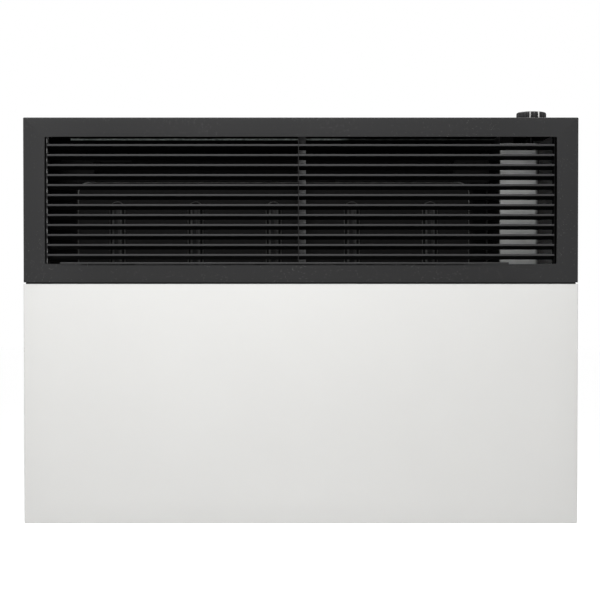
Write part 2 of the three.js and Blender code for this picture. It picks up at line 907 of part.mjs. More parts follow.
// Places of the beads to either side of the chamber's middle, as many as its flat face takes.
function beadCentres() {
  const flat = chamberHalf - chamberFlange - chamberEdge - beadToCurve;
  const run = 2 * (flat - beadSide) - beadCrest;
  const count = Math.floor(run / beadPitch) + 1;
  return Array.from({ length: count }, (_, i) => (i - (count - 1) / 2) * beadPitch);
}

function doorOpening(near, far) {
  const reach = doorHalf - doorLap;
  const outline = roundedRectangle(
    doorCentre - reach,
    doorCentre + reach,
    doorLow + doorLap,
    doorHigh - doorLap,
    doorOpeningCorner,
  );
  return frontal(outline, near, far);
}

function chamberFront() {
  const { body, hollow } = pressedShell(frontShellDepth);
  const low = doorHigh + beadAboveDoor;
  const high = chamberTop - beadBelowTop;
  const crestY = -frontShellDepth - beadHeight;
  const inset = chamberSheet * Math.tan(Math.atan2(beadHeight, beadSide) / 2);
  const innerCrest = beadCrest - 2 * inset;
  const innerY = crestY + chamberSheet;
  const beads = beadCentres().map((x) => beadBlock(x, beadCrest, beadSide, low, high, crestY));
  const hollows = beadCentres().map((x) => {
    return beadBlock(x, innerCrest, beadSide, low + inset, high - inset, innerY);
  });
  const shell = cut(join(body, ...beads), hollow, ...hollows);
  const placed = shell.translate([chamberCentre, frontFlangeRear, 0]);
  return placed.subtract(doorOpening(chamberFace - overcut, chamberFace + chamberSheet + overcut));
}

// A hole of this outline through the rear shell's back.
function rearFaceHole(outline, arcSteps) {
  return frontal(outline, chamberBack - chamberSheet - overcut, chamberBack + overcut, arcSteps);
}

function chamberRear() {
  const { body, hollow } = pressedShell(rearShellDepth);
  const shell = cut(body, hollow).rotate([0, 0, 180]).translate([chamberCentre, rearFlangeFront, 0]);
  const portLow = airDuctBottom + airDuctFlange + airDuctSheet + airPortInset;
  const portHalf = airPortWidth / 2;
  const port = roundedRectangle(
    chamberCentre - portHalf,
    chamberCentre + portHalf,
    portLow,
    portLow + airPortHeight,
    airPortCorner,
  );
  const exhaust = disc(chamberCentre, flueHeight, exhaustRadius);
  return cut(shell, rearFaceHole(exhaust, 10), rearFaceHole(port));
}

// Rope gasket between the two flanges.
function chamberGasketRing() {
  const near = seamPlane - chamberGasket / 2;
  const far = seamPlane + chamberGasket / 2;
  const lap = chamberFlange;
  const outer = roundedRectangle(chamberLeft, chamberRight, chamberBottom, chamberTop, chamberFlangeCorner);
  const inner = roundedRectangle(
    chamberLeft + lap,
    chamberRight - lap,
    chamberBottom + lap,
    chamberTop - lap,
    chamberCorner,
  );
  return cut(frontal(outer, near, far), frontal(inner, near - overcut, far + overcut));
}

// Strap from the back plate over the chamber's upper corner and down behind its rear flange.
function chamberStrap(side) {
  const outer = chamberCentre + side * (chamberHalf + strapInset);
  const inner = outer - side * strapWidth;
  const sheet = strapSheet;
  const rear = backPlateFront - clearance;
  const hang = rearFlangeFront + chamberSheet + clearance;
  const low = chamberTop - chamberFlange + strapToShell;
  const high = deflectorLow - deflectorFoot - strapBelowDeflector;
  const outline = polygon([
    [hang, low],
    [hang + sheet, low],
    [hang + sheet, high - sheet],
    [rear - sheet, high - sheet],
    [rear - sheet, high - strapFoot],
    [rear, high - strapFoot],
    [rear, high],
    [hang, high],
  ]);
  return sideways(outline, Math.min(outer, inner), Math.max(outer, inner));
}

// ---------------------------------------------------------------- burner door

function doorPlate(near, far) {
  const left = doorCentre - doorHalf;
  const right = doorCentre + doorHalf;
  return frontal(roundedRectangle(left, right, doorLow, doorHigh, doorCorner), near, far);
}

function doorHole(x, z, radius) {
  return frontal(disc(x, z, radius), doorFace - overcut, doorRear + overcut, 6);
}

function burnerDoor() {
  return cut(
    doorPlate(doorFace, doorRear),
    doorHole(sightX, doorMiddleHeight, sightOpening),
    doorHole(injectorMiddle, burnerHeight, mainTubeRadius + clearance),
    doorHole(pilotX, probeEntryHeight, pilotTubeRadius + clearance),
    doorHole(thermocoupleX, probeEntryHeight, leadRadius + clearance),
    doorHole(electrodeX, probeEntryHeight, electrodeRadius + clearance),
  );
}

function doorGasketRing() {
  const near = doorGasketRear - doorGasket;
  return cut(doorPlate(near, doorGasketRear), doorOpening(near - overcut, doorGasketRear + overcut));
}

function sightGlass() {
  const rear = doorFace - clearance;
  return frontal(disc(sightX, doorMiddleHeight, sightGlassRadius), rear - sightGlassThickness, rear, 10);
}

// Ring that clamps the glass: a flat flange on the door and a raised rim over the glass's edge.
function sightFrame() {
  const rear = doorFace - clearance;
  const cup = sightGlassRadius + clearance;
  const rimRear = rear - sightGlassThickness - clearance;
  const rimFront = rimRear - sightFrameSheet;
  const profile = [
    [sightOpening, rimFront],
    [cup + sightFrameSheet, rimFront],
    [cup + sightFrameSheet, rear - sightFrameSheet],
    [sightFrameRadius, rear - sightFrameSheet],
    [sightFrameRadius, rear],
    [cup, rear],
    [cup, rimRear],
    [sightOpening, rimRear],
    [sightOpening, rimFront],
  ];
  return turnedFlat(profile, sightX, doorMiddleHeight);
}

// ---------------------------------------------------------------- balanced flue

// A pipe along y with a flange at its inner end.
function flueCollar(radius, inner, outer) {
  const bore = radius - flueWall;
  const profile = [
    [bore, inner],
    [radius + flueFlange, inner],
    [radius + flueFlange, inner + flueWall],
    [radius, inner + flueWall],
    [radius, outer],
    [bore, outer],
    [bore, inner],
  ];
  return turnedFlat(profile, chamberCentre, flueHeight, 24);
}

// Shallow duct behind the chamber that brings fresh air from the intake pipe down to the burner.
function airDuct() {
  const side = airDuctWidth / 2;
  const sheet = airDuctSheet;
  const near = chamberBack + clearance;
  const corner = airDuctCorner;
  const ring = (inset, radius) => {
    return roundedRectangle(
      chamberCentre - side + inset,
      chamberCentre + side - inset,
      airDuctBottom + inset,
      airDuctTop - inset,
      radius,
    );
  };
  const lap = airDuctFlange;
  const base = frontal(ring(0, corner), near, near + sheet);
  const box = frontal(ring(lap, corner), near, ductRear);
  const hollow = frontal(ring(lap + sheet, corner - sheet), near - overcut, ductRear - sheet);
  const bore = disc(chamberCentre, flueHeight, intakeRadius - flueWall);
  return cut(base.add(box), hollow, frontal(bore, near, ductRear + overcut, 12));
}

// ---------------------------------------------------------------- burner

// Tube burner: closed end, port slots along the top, narrow throat and a flared mouth at the injector.
function burnerTube() {
  const wall = burnerWall;
  const throat = burnerRight - burnerThroatBack;
  const shoulder = burnerRight - burnerShoulderBack;
  const outer = [
    [burnerRadius, burnerLeft],
    [burnerRadius, shoulder],
    [burnerThroat, throat],
    [burnerThroat, throat + burnerThroatLength],
    [burnerBell, burnerRight],
  ];
  const inner = outer.map(([radius, x]) => [radius - wall, x]);
  inner[0][1] = burnerLeft + wall;
  const profile = [[0, burnerLeft], ...outer, ...inner.reverse(), [0, burnerLeft + wall]];
  const points = profile.map(([radius, x]) => new THREE.Vector2(radius, x));
  const geometry = new THREE.LatheGeometry(points, 16).rotateZ(-Math.PI / 2);
  const tube = toSolid(geometry.translate(0, burnerY, burnerHeight));
  const first = burnerLeft + firstPortInset;
  const count = Math.floor((shoulder - lastPortInset - first) / portPitch) + 1;
  const near = burnerY - portLength / 2;
  const slots = Array.from({ length: count }, (_, i) => {
    const x = first + i * portPitch;
    const above = burnerHeight + burnerRadius + overcut;
    return block(x, x + portWidth, near, near + portLength, burnerHeight, above);
  });
  return cut(tube, ...slots);
}

// Saddle from the burner door's inside back under the burner.
function burnerSaddle(x) {
  const near = doorRear + clearance;
  const far = burnerY + burnerRadius;
  const top = burnerHeight;
  const low = burnerHeight - burnerRadius - saddleBelowBurner;
  const plate = block(x, x + saddleSheet, near, far, low, top);
  const foot = block(x, x + saddleFoot, near, near + saddleSheet, low, top);
  const round = disc(burnerY, burnerHeight, burnerRadius + clearance);
  const seat = sideways(round, x - overcut, x + saddleFoot + overcut, 8);
  return cut(plate.add(foot), seat);
}

// Injector: a nozzle that points into the burner's mouth, on an elbow that meets the gas tube at the door.
function injector() {
  const left = injectorX;
  const tip = left - injectorNose;
  const near = doorRear + clearance;
  const along = (radius, start, end, arcSteps) => {
    return sideways(disc(burnerY, burnerHeight, radius), start, end, arcSteps);
  };
  const body = along(injectorRadius, left, left + injectorLength, 4);
  const nose = along(injectorNoseRadius, tip, left + overcut, 4);
  const stem = frontal(disc(injectorMiddle, burnerHeight, injectorStemRadius), near, burnerY, 4);
  const jet = along(injectorBore, tip - overcut, left + injectorJetDepth, 3);
  return cut(join(body, nose, stem), jet);
}

// Pilot burner: an upright hooded body on a short stem from the door.
function pilotBurner() {
  const y = probeY;
  const low = probeEntryHeight - probeFoot;
  const bore = pilotRadius - pilotWall;
  const floor = pilotHeight - pilotSocketDepth;
  const body = turned(
    [
      [0, low],
      [pilotRadius, low],
      [pilotRadius, pilotHeight],
      [bore, pilotHeight],
      [bore, floor],
      [0, floor],
    ],
    pilotX,
    y,
    12,
  );
  const stem = frontal(disc(pilotX, probeEntryHeight, bore), doorRear + clearance, y, 4);
  const left = pilotX - pilotHood / 2;
  const lap = pilotHeight - pilotHoodLap;
  const hoodPlate = block(left, left + pilotHood, y, y + pilotWall, lap, pilotHeight + pilotHoodRise);
  return join(body, stem, hoodPlate);
}

// Thermocouple: a probe that stands beside the pilot, and its lead out through the door to the valve.
function thermocouple() {
  const x = thermocoupleX;
  const y = probeY;
  const tip = pilotHeight + thermocoupleTip;
  const probe = turned(
    [
      [0, probeEntryHeight - probeFoot],
      [thermocoupleRadius, probeEntryHeight - probeFoot],
      [thermocoupleRadius, tip - thermocoupleTaper],
      [thermocoupleRadius - thermocoupleShoulder, tip],
      [0, tip],
    ],
    x,
    y,
    10,
  );
  const lane = doorFace - leadLane;
  const turn = shieldLeft - leadLaneInset;
  const portY = rodY + smallPortShift;
  const lead = pipe(
    [
      [x, y, probeEntryHeight],
      [x, lane, probeEntryHeight],
      [x, lane, leadLaneHeight],
      [turn, lane, leadLaneHeight],
      [turn, portY, leadLaneHeight],
      [turn, portY, smallPortHeight],
      [portFace, portY, smallPortHeight],
    ],
    leadRadius,
    pipeElbow,
    6,
  );
  return probe.add(lead);
}

// Spark electrode: a ceramic sleeve through the door and a wire tip bent up towards the pilot.
function sparkElectrode() {
  const x = electrodeX;
  const near = doorFace - electrodeReach;
  const far = doorRear + electrodeInside;
  const sleeve = frontal(disc(x, probeEntryHeight, electrodeRadius), near, far, 5);
  const tip = pipe(
    [
      [x, far - electrodeInside / 2, probeEntryHeight],
      [x, probeY, probeEntryHeight],
      [x, probeY, pilotHeight],
      [pilotX - pilotHood / 2 - sparkGap, probeY, pilotHeight + pilotHoodRise],
    ],
    electrodeWire,
    electrodeRadius,
    6,
  );
  return sleeve.add(tip);
}

// ---------------------------------------------------------------- gas train

function valveShelf() {
  const low = shelfHeight - shelfSheet;
  const rear = backPlateFront - clearance;
  const near = rear - shelfDepth;
  const plate = block(shieldLeft, shelfRight, near, rear, low, shelfHeight);
  const foot = shelfHeight - shelfFoot;
  const back = block(shieldLeft, shelfRight, rear - shelfSheet, rear, foot, shelfHeight);
  const round = disc(rodX, rodY, inletRadius + shelfHoleGap);
  return cut(plate.add(back), raise(round, low - overcut, shelfHeight + overcut, 8));
}

// Boss on the valve's left side for a pipe at (y, z).
function valvePort(y, z, radius) {
  return sideways(disc(y, z, radius), valveLeft - portBossLength, valveLeft + valveCorner, 4);
}

// Die-cast valve: block with rounded edges, round tower for the spindle and side ports for the pipes.
function gasValve() {
  const edge = valveEdge;
  const outline = roundedRectangle(
    valveLeft + edge,
    valveRight - edge,
    valveFront + edge,
    valveFront + valveDepth - edge,
    valveCorner - edge,
  );
  const options = {
    depth: valveHeight - 2 * edge,
    bevelEnabled: true,
    bevelThickness: edge,
    bevelSize: edge,
    bevelSegments: 1,
    curveSegments: 2,
  };
  const casting = toSolid(new THREE.ExtrudeGeometry(outline, options).translate(0, 0, valveBottom + edge));
  const tower = raise(disc(rodX, rodY, towerRadius), valveTop - edge, towerTop, 10);
  const wellFloor = spindleBottom - runningGap;
  const well = raise(disc(rodX, rodY, spindleRadius + runningGap), wellFloor, towerTop + overcut, 10);
  const ports = [
    valvePort(rodY, mainPortHeight, mainPortRadius),
    valvePort(rodY + smallPortShift, smallPortHeight, smallPortRadius),
    valvePort(rodY - smallPortShift, smallPortHeight, smallPortRadius),
  ];
  return cut(join(casting, tower, ...ports), well);
}

// Inlet union under the valve: hexagon nut and a bored stub whose end face takes the supply pipe.
function gasInlet() {
  const top = valveBottom - clearance;
  const bottom = shelfHeight - shelfSheet - inletLength;
  const nutTop = shelfHeight - shelfSheet - clearance;
  const hexagon = Array.from({ length: 6 }, (_, i) => {
    const angle = (i * Math.PI) / 3;
    return [rodX + inletNut * Math.cos(angle), rodY + inletNut * Math.sin(angle)];
  });
  const stub = raise(disc(rodX, rodY, inletRadius), bottom, top, 8);
  const nut = raise(polygon(hexagon), nutTop - inletNutHeight, nutTop);
  const bore = raise(disc(rodX, rodY, inletBore), bottom - overcut, top - inletBoreFloor, 6);
  return cut(stub.add(nut), bore);
}

// Main gas tube: from the valve's large port, past the shield, across the front and up to the injector.
function mainGasTube() {
  const turn = shieldLeft - pipeLane;
  const lane = doorFace - pipeLane;
  return pipe(
    [
      [portFace, rodY, mainPortHeight],
      [turn, rodY, mainPortHeight],
      [turn, lane, mainPortHeight],
      [injectorMiddle, lane, mainPortHeight],
      [injectorMiddle, lane, burnerHeight],
      [injectorMiddle, doorRear, burnerHeight],
    ],
    mainTubeRadius,
  );
}

// Pilot tube: thin line from the valve's forward small port to the pilot burner.
function pilotTube() {
  const turn = shieldLeft - pilotLaneInset;
  const y = rodY - smallPortShift;
  const lane = doorFace - pilotLane;
  return pipe(
    [
      [portFace, y, smallPortHeight],
      [turn, y, smallPortHeight],
      [turn, lane, smallPortHeight],
      [turn, lane, pilotLaneHeight],
      [pilotX, lane, pilotLaneHeight],
      [pilotX, lane, probeEntryHeight],
      [pilotX, doorRear, probeEntryHeight],
    ],
    pilotTubeRadius,
    pipeElbow,
    6,
  );
}

// Lead from the igniter's tail down beside the shield and across to the electrode.
function ignitionLead() {
  const beside = shieldLeft - ignitionLaneInset;
  const end = doorFace - electrodeReach - clearance;
  const lane = end - ignitionLane;
  const height = doorHigh + ignitionAboveDoor;
  return pipe(
    [
      [rodX, igniterY, igniterTail - clearance],
      [rodX, igniterY, leadDropHeight],
      [beside, igniterY, leadDropHeight],
      [beside, igniterY, height],
      [beside, lane, height],
      [electrodeX, lane, height],
      [electrodeX, lane, probeEntryHeight],
      [electrodeX, end, probeEntryHeight],
    ],
    ignitionLeadRadius,
    pipeElbow,
    6,
  );
}

// Thermostat bulb along the back plate's foot, with its capillary up to the valve.
function thermostatBulb() {
  const y = bulbY;
  const left = bulbCentre - bulbLength / 2;
  const right = bulbCentre + bulbLength / 2;
  const bulb = sideways(disc(y, bulbHeight, bulbRadius), left, right, 5);
  const lane = shelfRight + capillaryPastShelf;
  const capillary = pipe(
    [
      [right - bulbRadius, y, bulbHeight],
      [lane, y, bulbHeight],
      [lane, rodY, bulbHeight],
      [lane, rodY, mainPortHeight],
      [valveRight + clearance, rodY, mainPortHeight],
    ],
    leadRadius,
    pipeElbow,
    6,
  );
  return bulb.add(capillary);
}

// Bracket on the back plate with two rings that hold the bulb.
function bulbClips() {
  const y = bulbY;
  const sheet = bulbClipSheet;
  const rear = backPlateFront - clearance;
  const outer = bulbRadius + clearance + sheet;
  const low = bulbHeight - outer - bulbClipFoot;
  const high = bulbHeight + outer + bulbClipFoot;
  const reach = (bulbClipSpacing + bulbClipWidth) / 2;
  const foot = block(bulbCentre - reach, bulbCentre + reach, rear - sheet, rear, low, high);
  const rings = [-1, 1].map((side) => {
    const left = bulbCentre + (side * bulbClipSpacing) / 2 - bulbClipWidth / 2;
    const right = left + bulbClipWidth;
    const stem = block(left, right, y, rear, bulbHeight - sheet, bulbHeight + sheet);
    return stem.add(sideways(disc(y, bulbHeight, outer), left, right, 6));
  });
  const hole = sideways(
    disc(y, bulbHeight, bulbRadius + clearance),
    bulbCentre - reach - overcut,
    bulbCentre + reach + overcut,
    6,
  );
  return cut(join(foot, ...rings), hole);
}

// ---------------------------------------------------------------- controls

// Galvanised shield: face, web back to the back plate and a short return at the right.
function controlShield() {
  const sheet = shieldSheet;
  const rear = backPlateFront - clearance;
  const outer = new THREE.Shape();
  outer.moveTo(shieldLeft, rear);
  outer.lineTo(shieldLeft, shieldFace + shieldBend);
  outer.absarc(shieldLeft + shieldBend, shieldFace + shieldBend, shieldBend, Math.PI, Math.PI * 1.5);
  outer.absarc(shieldRight - shieldBend, shieldFace + shieldBend, shieldBend, Math.PI * 1.5, 2 * Math.PI);
  outer.lineTo(shieldRight, shieldFace + shieldBend + shieldReturn);
  outer.lineTo(shieldRight - sheet, shieldFace + shieldBend + shieldReturn);
  const inner = shieldBend - sheet;
  outer.absarc(shieldRight - shieldBend, shieldFace + shieldBend, inner, 0, Math.PI * 1.5, true);
  outer.absarc(shieldLeft + shieldBend, shieldFace + shieldBend, inner, Math.PI * 1.5, Math.PI, true);
  outer.lineTo(shieldLeft + sheet, rear);
  const folded = raise(outer, shieldBottom, shieldTop);
  const passages = [
    [rodY, mainPortHeight, mainTubeRadius],
    [rodY + smallPortShift, smallPortHeight, leadRadius],
    [rodY - smallPortShift, smallPortHeight, pilotTubeRadius],
    [igniterY, leadDropHeight, ignitionLeadRadius],
  ].map(([y, z, radius]) => {
    const hole = disc(y, z, radius + pipeGrommet);
    return sideways(hole, shieldLeft - overcut, shieldLeft + sheet + overcut, 5);
  });
  return cut(folded, ...passages);
}

// Guide on the shield's head: a plate with the rod's bearing hole and the igniter's seat, and two legs.
function rodGuide() {
  const sheet = guideSheet;
  const left = shieldLeft + shieldSheet + clearance;
  const right = rodX + guideRight;
  const near = shieldFace + shieldSheet + clearance;
  const far = igniterY + igniterCollar + guideFrontLap;
  const plate = block(left, right, near, far, guideHeight, guideTop);
  const leg = block(left, left + sheet, near, far, guideHeight - guideLegDrop, guideTop);
  const tabLow = guideHeight - guideTabDrop;
  const tab = block(left, left + guideTabWidth, near, near + sheet, tabLow, guideTop);
  const below = guideHeight - overcut;
  const above = guideTop + overcut;
  const rodHole = raise(disc(rodX, rodY, rodRadius + runningGap), below, above, 8);
  const seat = raise(disc(rodX, igniterY, igniterRadius + clearance), below, above, 8);
  const bend = shieldBend - shieldSheet;
  const notchLow = below - guideLegDrop;
  const notch = block(left - overcut, left + bend, near - overcut, near + bend, notchLow, above);
  return cut(join(plate, leg, tab), rodHole, seat, notch);
}

// Socket that turns in the valve's tower and lets the rod's square end slide down.
function valveSpindle() {
  const side = rodSquare / 2 + runningGap;
  const floor = spindleBottom + socketFloor;
  const barrel = raise(disc(rodX, rodY, spindleRadius), spindleBottom, spindleTop, 8);
  const socket = block(rodX - side, rodX + side, rodY - side, rodY + side, floor, spindleTop + overcut);
  return cut(barrel, socket);
}

// Rod from the knob down to the socket, with a square lower end.
function extensionRod() {
  const side = rodSquare / 2;
  const squareTop = spindleTop + pressTravel + runningGap;
  const round = raise(disc(rodX, rodY, rodRadius), squareTop, rodTop, 6);
  const square = block(
    rodX - side,
    rodX + side,
    rodY - side,
    rodY + side,
    rodBottom,
    squareTop + overcut,
  );
  return round.add(square);
}

// Outline of the knob's grip: a circle with evenly spaced scallops.
function flutedOutline(radius) {
  const pointsPerFlute = 4;
  const count = fluteCount * pointsPerFlute;
  const points = Array.from({ length: count }, (_, i) => {
    const wave = (1 + Math.cos((i / pointsPerFlute) * 2 * Math.PI)) / 2;
    const reach = radius - fluteDepth * wave;
    const angle = (i / count) * 2 * Math.PI;
    return [reach * Math.cos(angle), reach * Math.sin(angle)];
  });
  return polygon(points);
}

// Knob: fluted cap, hollow below, with a hub for the rod and a pointer groove over its top and front.
function knob() {
  const options = {
    depth: knobHeight - 2 * knobEdge,
    bevelEnabled: true,
    bevelThickness: knobEdge,
    bevelSize: knobEdge,
    bevelSegments: 2,
  };
  const grip = toSolid(new THREE.ExtrudeGeometry(flutedOutline(knobRadius - knobEdge), options));
  const body = grip.translate([0, 0, knobEdge]);
  const hollowRadius = knobRadius - knobEdge - knobWall;
  const hollow = raise(disc(0, 0, hollowRadius), -overcut, knobHeight - knobWall, 10);
  const hub = raise(disc(0, 0, knobHub), 0, knobHeight - knobHubBelowTop, 8);
  const socket = raise(disc(0, 0, rodRadius + clearance), -overcut, rodTop - knobBottom + clearance, 6);
  const side = pointerWidth / 2;
  const reach = knobRadius + overcut;
  const above = knobHeight + overcut;
  const sideFloor = -knobRadius + fluteDepth + pointerDepth;
  const topGroove = block(-side, side, -reach, -knobHub, knobHeight - pointerDepth, above);
  const sideGroove = block(-side, side, -reach, sideFloor, -overcut, above);
  const whole = cut(body.subtract(hollow).add(hub), socket, topGroove, sideGroove);
  return whole.rotate([0, 0, pointerAngle]).translate([rodX, rodY, knobBottom]);
}

// Igniter barrel: hangs in the guide by its collar, with a bore for the button's stem.
function piezoIgniter() {
  const collarBottom = guideTop + clearance;
  const bore = buttonStem + runningGap;
  const boreFloor = igniterTop - buttonStemLength - buttonTravel;
  return turned(
    [
      [0, igniterTail],
      [igniterRadius, igniterTail],
      [igniterRadius, collarBottom],
      [igniterCollar, collarBottom],
      [igniterCollar, igniterCollarTop],
      [igniterNeck, igniterCollarTop],
      [igniterNeck, igniterTop],
      [bore, igniterTop],
      [bore, boreFloor],
      [0, boreFloor],
    ],
    rodX,
    igniterY,
    16,
  );
}

function piezoButton() {
  const capTop = cabinetHeight + buttonHeight;
  const capBottom = igniterTop + buttonTravel + runningGap;
  return turned(
    [
      [0, igniterTop - buttonStemLength + runningGap],
      [buttonStem, igniterTop - buttonStemLength + runningGap],
      [buttonStem, capBottom],
      [buttonRadius, capBottom],
      [buttonRadius, capTop - buttonEdge],
      [buttonRadius - buttonEdge, capTop],
      [0, capTop],
    ],
    rodX,
    igniterY,
    16,
  );
}

// ---------------------------------------------------------------- assembly

addPart('hood', hood(), blackPaint);
addPart('front_panel', frontPanel(), whitePaint);
addPart('joint_strip', jointStrip(), blackPaint);
bladeTops.forEach((top, i) => {
  addPart(`louvre_${String(i + 1).padStart(2, '0')}`, blade(top), blackPaint);
});
const endPost = bladeHalf - bladePastPost - postSheet;
addPart('louvre_post_left', post(-endPost - postSheet, -1), blackPaint);
addPart('louvre_post_centre', post(centrePostX, 1), blackPaint);
addPart('louvre_post_right', post(endPost, 1), blackPaint);
addPart('top_deflector', topDeflector(), blackPaint);
addPart('back_plate', backPlate(), blackPaint);
addPart('wall_rail_upper', wallRail(upperRailHeight), galvanised);
addPart('wall_rail_lower', wallRail(lowerRailHeight), galvanised);
addPart('cover_bracket_left', coverBracket(-1), galvanised);
addPart('cover_bracket_right', coverBracket(1), galvanised);
addPart('cover_hook_left', coverHook(-1), blackPaint);
addPart('cover_hook_right', coverHook(1), blackPaint);
addPart('chamber_front', chamberFront(), heatBlack);
addPart('chamber_rear', chamberRear(), heatBlack);
addPart('chamber_gasket', chamberGasketRing(), fibre);
addPart('chamber_strap_left', chamberStrap(-1), heatBlack);
addPart('chamber_strap_right', chamberStrap(1), heatBlack);
addPart('burner_door', burnerDoor(), heatBlack);
addPart('door_gasket', doorGasketRing(), fibre);
addPart('sight_glass', sightGlass(), glass);
addPart('sight_frame', sightFrame(), stainless);
addPart('air_duct', airDuct(), galvanised);
addPart('exhaust_collar', flueCollar(exhaustRadius, chamberBack + clearance, exhaustPastWall), stainless);
addPart('intake_collar', flueCollar(intakeRadius, ductRear + clearance, intakePastWall), galvanised);
addPart('burner_tube', burnerTube(), stainless);
const saddleCentre = pilotX - saddleLeftOfPilot;
addPart('burner_saddle_left', burnerSaddle(saddleCentre - saddleSpacing / 2), stainless);
addPart('burner_saddle_right', burnerSaddle(saddleCentre + saddleSpacing / 2), stainless);
addPart('injector', injector(), brass);
addPart('pilot_burner', pilotBurner(), brass);
addPart('thermocouple', thermocouple(), copper);
addPart('spark_electrode', sparkElectrode(), ceramic);
addPart('ignition_lead', ignitionLead(), rubberLead);
addPart('gas_valve', gasValve(), castAluminium);
addPart('gas_inlet', gasInlet(), brass);
addPart('main_gas_tube', mainGasTube(), galvanised);
addPart('pilot_tube', pilotTube(), copper);
addPart('thermostat_bulb', thermostatBulb(), copper);
addPart('bulb_clips', bulbClips(), galvanised);
addPart('valve_shelf', valveShelf(), galvanised);
addPart('control_shield', controlShield(), galvanised);
addPart('rod_guide', rodGuide(), blackPaint);
addPart('valve_spindle', valveSpindle(), brass);
addPart('extension_rod', extensionRod(), stainless);
addPart('knob', knob(), blackPlastic);
addPart('piezo_igniter', piezoIgniter(), blackPlastic);
addPart('piezo_button', piezoButton(), blackPlastic);

export default heater;
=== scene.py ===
import json
import math

import bmesh
import bpy
import numpy as np
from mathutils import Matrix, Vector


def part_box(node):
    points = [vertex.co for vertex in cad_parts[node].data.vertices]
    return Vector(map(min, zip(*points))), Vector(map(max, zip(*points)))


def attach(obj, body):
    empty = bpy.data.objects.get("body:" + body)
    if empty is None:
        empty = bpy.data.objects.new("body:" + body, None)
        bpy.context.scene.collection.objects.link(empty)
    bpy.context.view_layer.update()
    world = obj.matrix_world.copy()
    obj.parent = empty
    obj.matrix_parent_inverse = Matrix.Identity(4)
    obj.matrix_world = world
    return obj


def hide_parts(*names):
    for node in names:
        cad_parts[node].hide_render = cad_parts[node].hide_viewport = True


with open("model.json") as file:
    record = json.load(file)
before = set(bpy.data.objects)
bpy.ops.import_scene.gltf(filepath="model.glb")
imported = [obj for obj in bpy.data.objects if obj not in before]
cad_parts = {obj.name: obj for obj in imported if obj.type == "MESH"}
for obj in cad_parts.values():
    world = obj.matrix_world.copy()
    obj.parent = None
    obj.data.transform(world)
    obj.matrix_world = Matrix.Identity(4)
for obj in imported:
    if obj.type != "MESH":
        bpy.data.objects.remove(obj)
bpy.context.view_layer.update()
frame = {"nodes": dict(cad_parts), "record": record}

# Wall mounted gas heater, dressed around its fixed frame.
# Lengths in the making are millimetres of the cabinet: x to the right, y towards the wall (the front is
# negative) and z up from the cabinet's lower edge. placed() brings them into the frame's metres.

MM = 0.001
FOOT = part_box("front_panel")[0][2]
SLOT_OF = {part["node"]: part["material_slot"] for part in frame["record"]["subparts"]}


def placed(points):
    """Cabinet millimetres as the frame's metres: scaled by 0.001 and lowered to the cabinet's foot."""
    return np.asarray(points, float) * MM + [0.0, 0.0, FOOT]


def span(node):
    """A node's lowest and highest corners in cabinet millimetres."""
    return tuple((np.array(corner) - [0.0, 0.0, FOOT]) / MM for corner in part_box(node))


def added(name, data):
    """A new object in the scene."""
    made = bpy.data.objects.new(name, data)
    bpy.context.scene.collection.objects.link(made)
    return made


# ---------------------------------------------------------------- camera

VIEW_DISTANCE = 2.5
PICTURE_WIDTH = 1.0008
CAMERA_X = -0.0013
CAMERA_HEIGHT = 422.0
CAMERA_PITCH = 1.1
SENSOR = 36.0


def add_camera():
    """The photograph's view: level with the middle of the cabinet and far back, tipped down by one degree."""
    camera = bpy.data.cameras.new("camera")
    camera.sensor_width = SENSOR
    camera.lens = SENSOR * VIEW_DISTANCE / PICTURE_WIDTH
    viewer = added("camera", camera)
    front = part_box("hood")[0][1]
    viewer.location = (CAMERA_X, front - VIEW_DISTANCE, CAMERA_HEIGHT * MM + FOOT)
    viewer.rotation_euler = (math.radians(90.0 - CAMERA_PITCH), 0.0, 0.0)
    bpy.context.scene.camera = viewer


add_camera()


# ---------------------------------------------------------------- shader arithmetic

class Value:
    """A number that varies over a surface. Arithmetic on it adds the Math nodes that work it out."""

    def __init__(self, finish, socket):
        self.finish = finish
        self.socket = socket

    def _maths(self, operation, *others):
        return self.finish.maths(operation, *others)

    def __add__(self, other):
        return self._maths("ADD", self, other)

    def __radd__(self, other):
        return self._maths("ADD", other, self)

    def __sub__(self, other):
        return self._maths("SUBTRACT", self, other)

    def __rsub__(self, other):
        return self._maths("SUBTRACT", other, self)

    def __mul__(self, other):
        return self._maths("MULTIPLY", self, other)

    def __rmul__(self, other):
        return self._maths("MULTIPLY", other, self)

    def __truediv__(self, other):
        return self._maths("DIVIDE", self, other)

    def __abs__(self):
        return self._maths("ABSOLUTE", self)

    def at_least(self, other):
        return self._maths("MAXIMUM", self, other)

    def at_most(self, other):
        return self._maths("MINIMUM", self, other)

    def wave(self):
        return self._maths("SINE", self)

    def between(self, low, high):
        """Nought below low, one above high and a smooth slope between them."""
        settings = {"interpolation_type": "SMOOTHSTEP"}
        inputs = {"Value": self, "From Min": low, "From Max": high}
        return self.finish.value("ShaderNodeMapRange", settings, inputs, "Result")


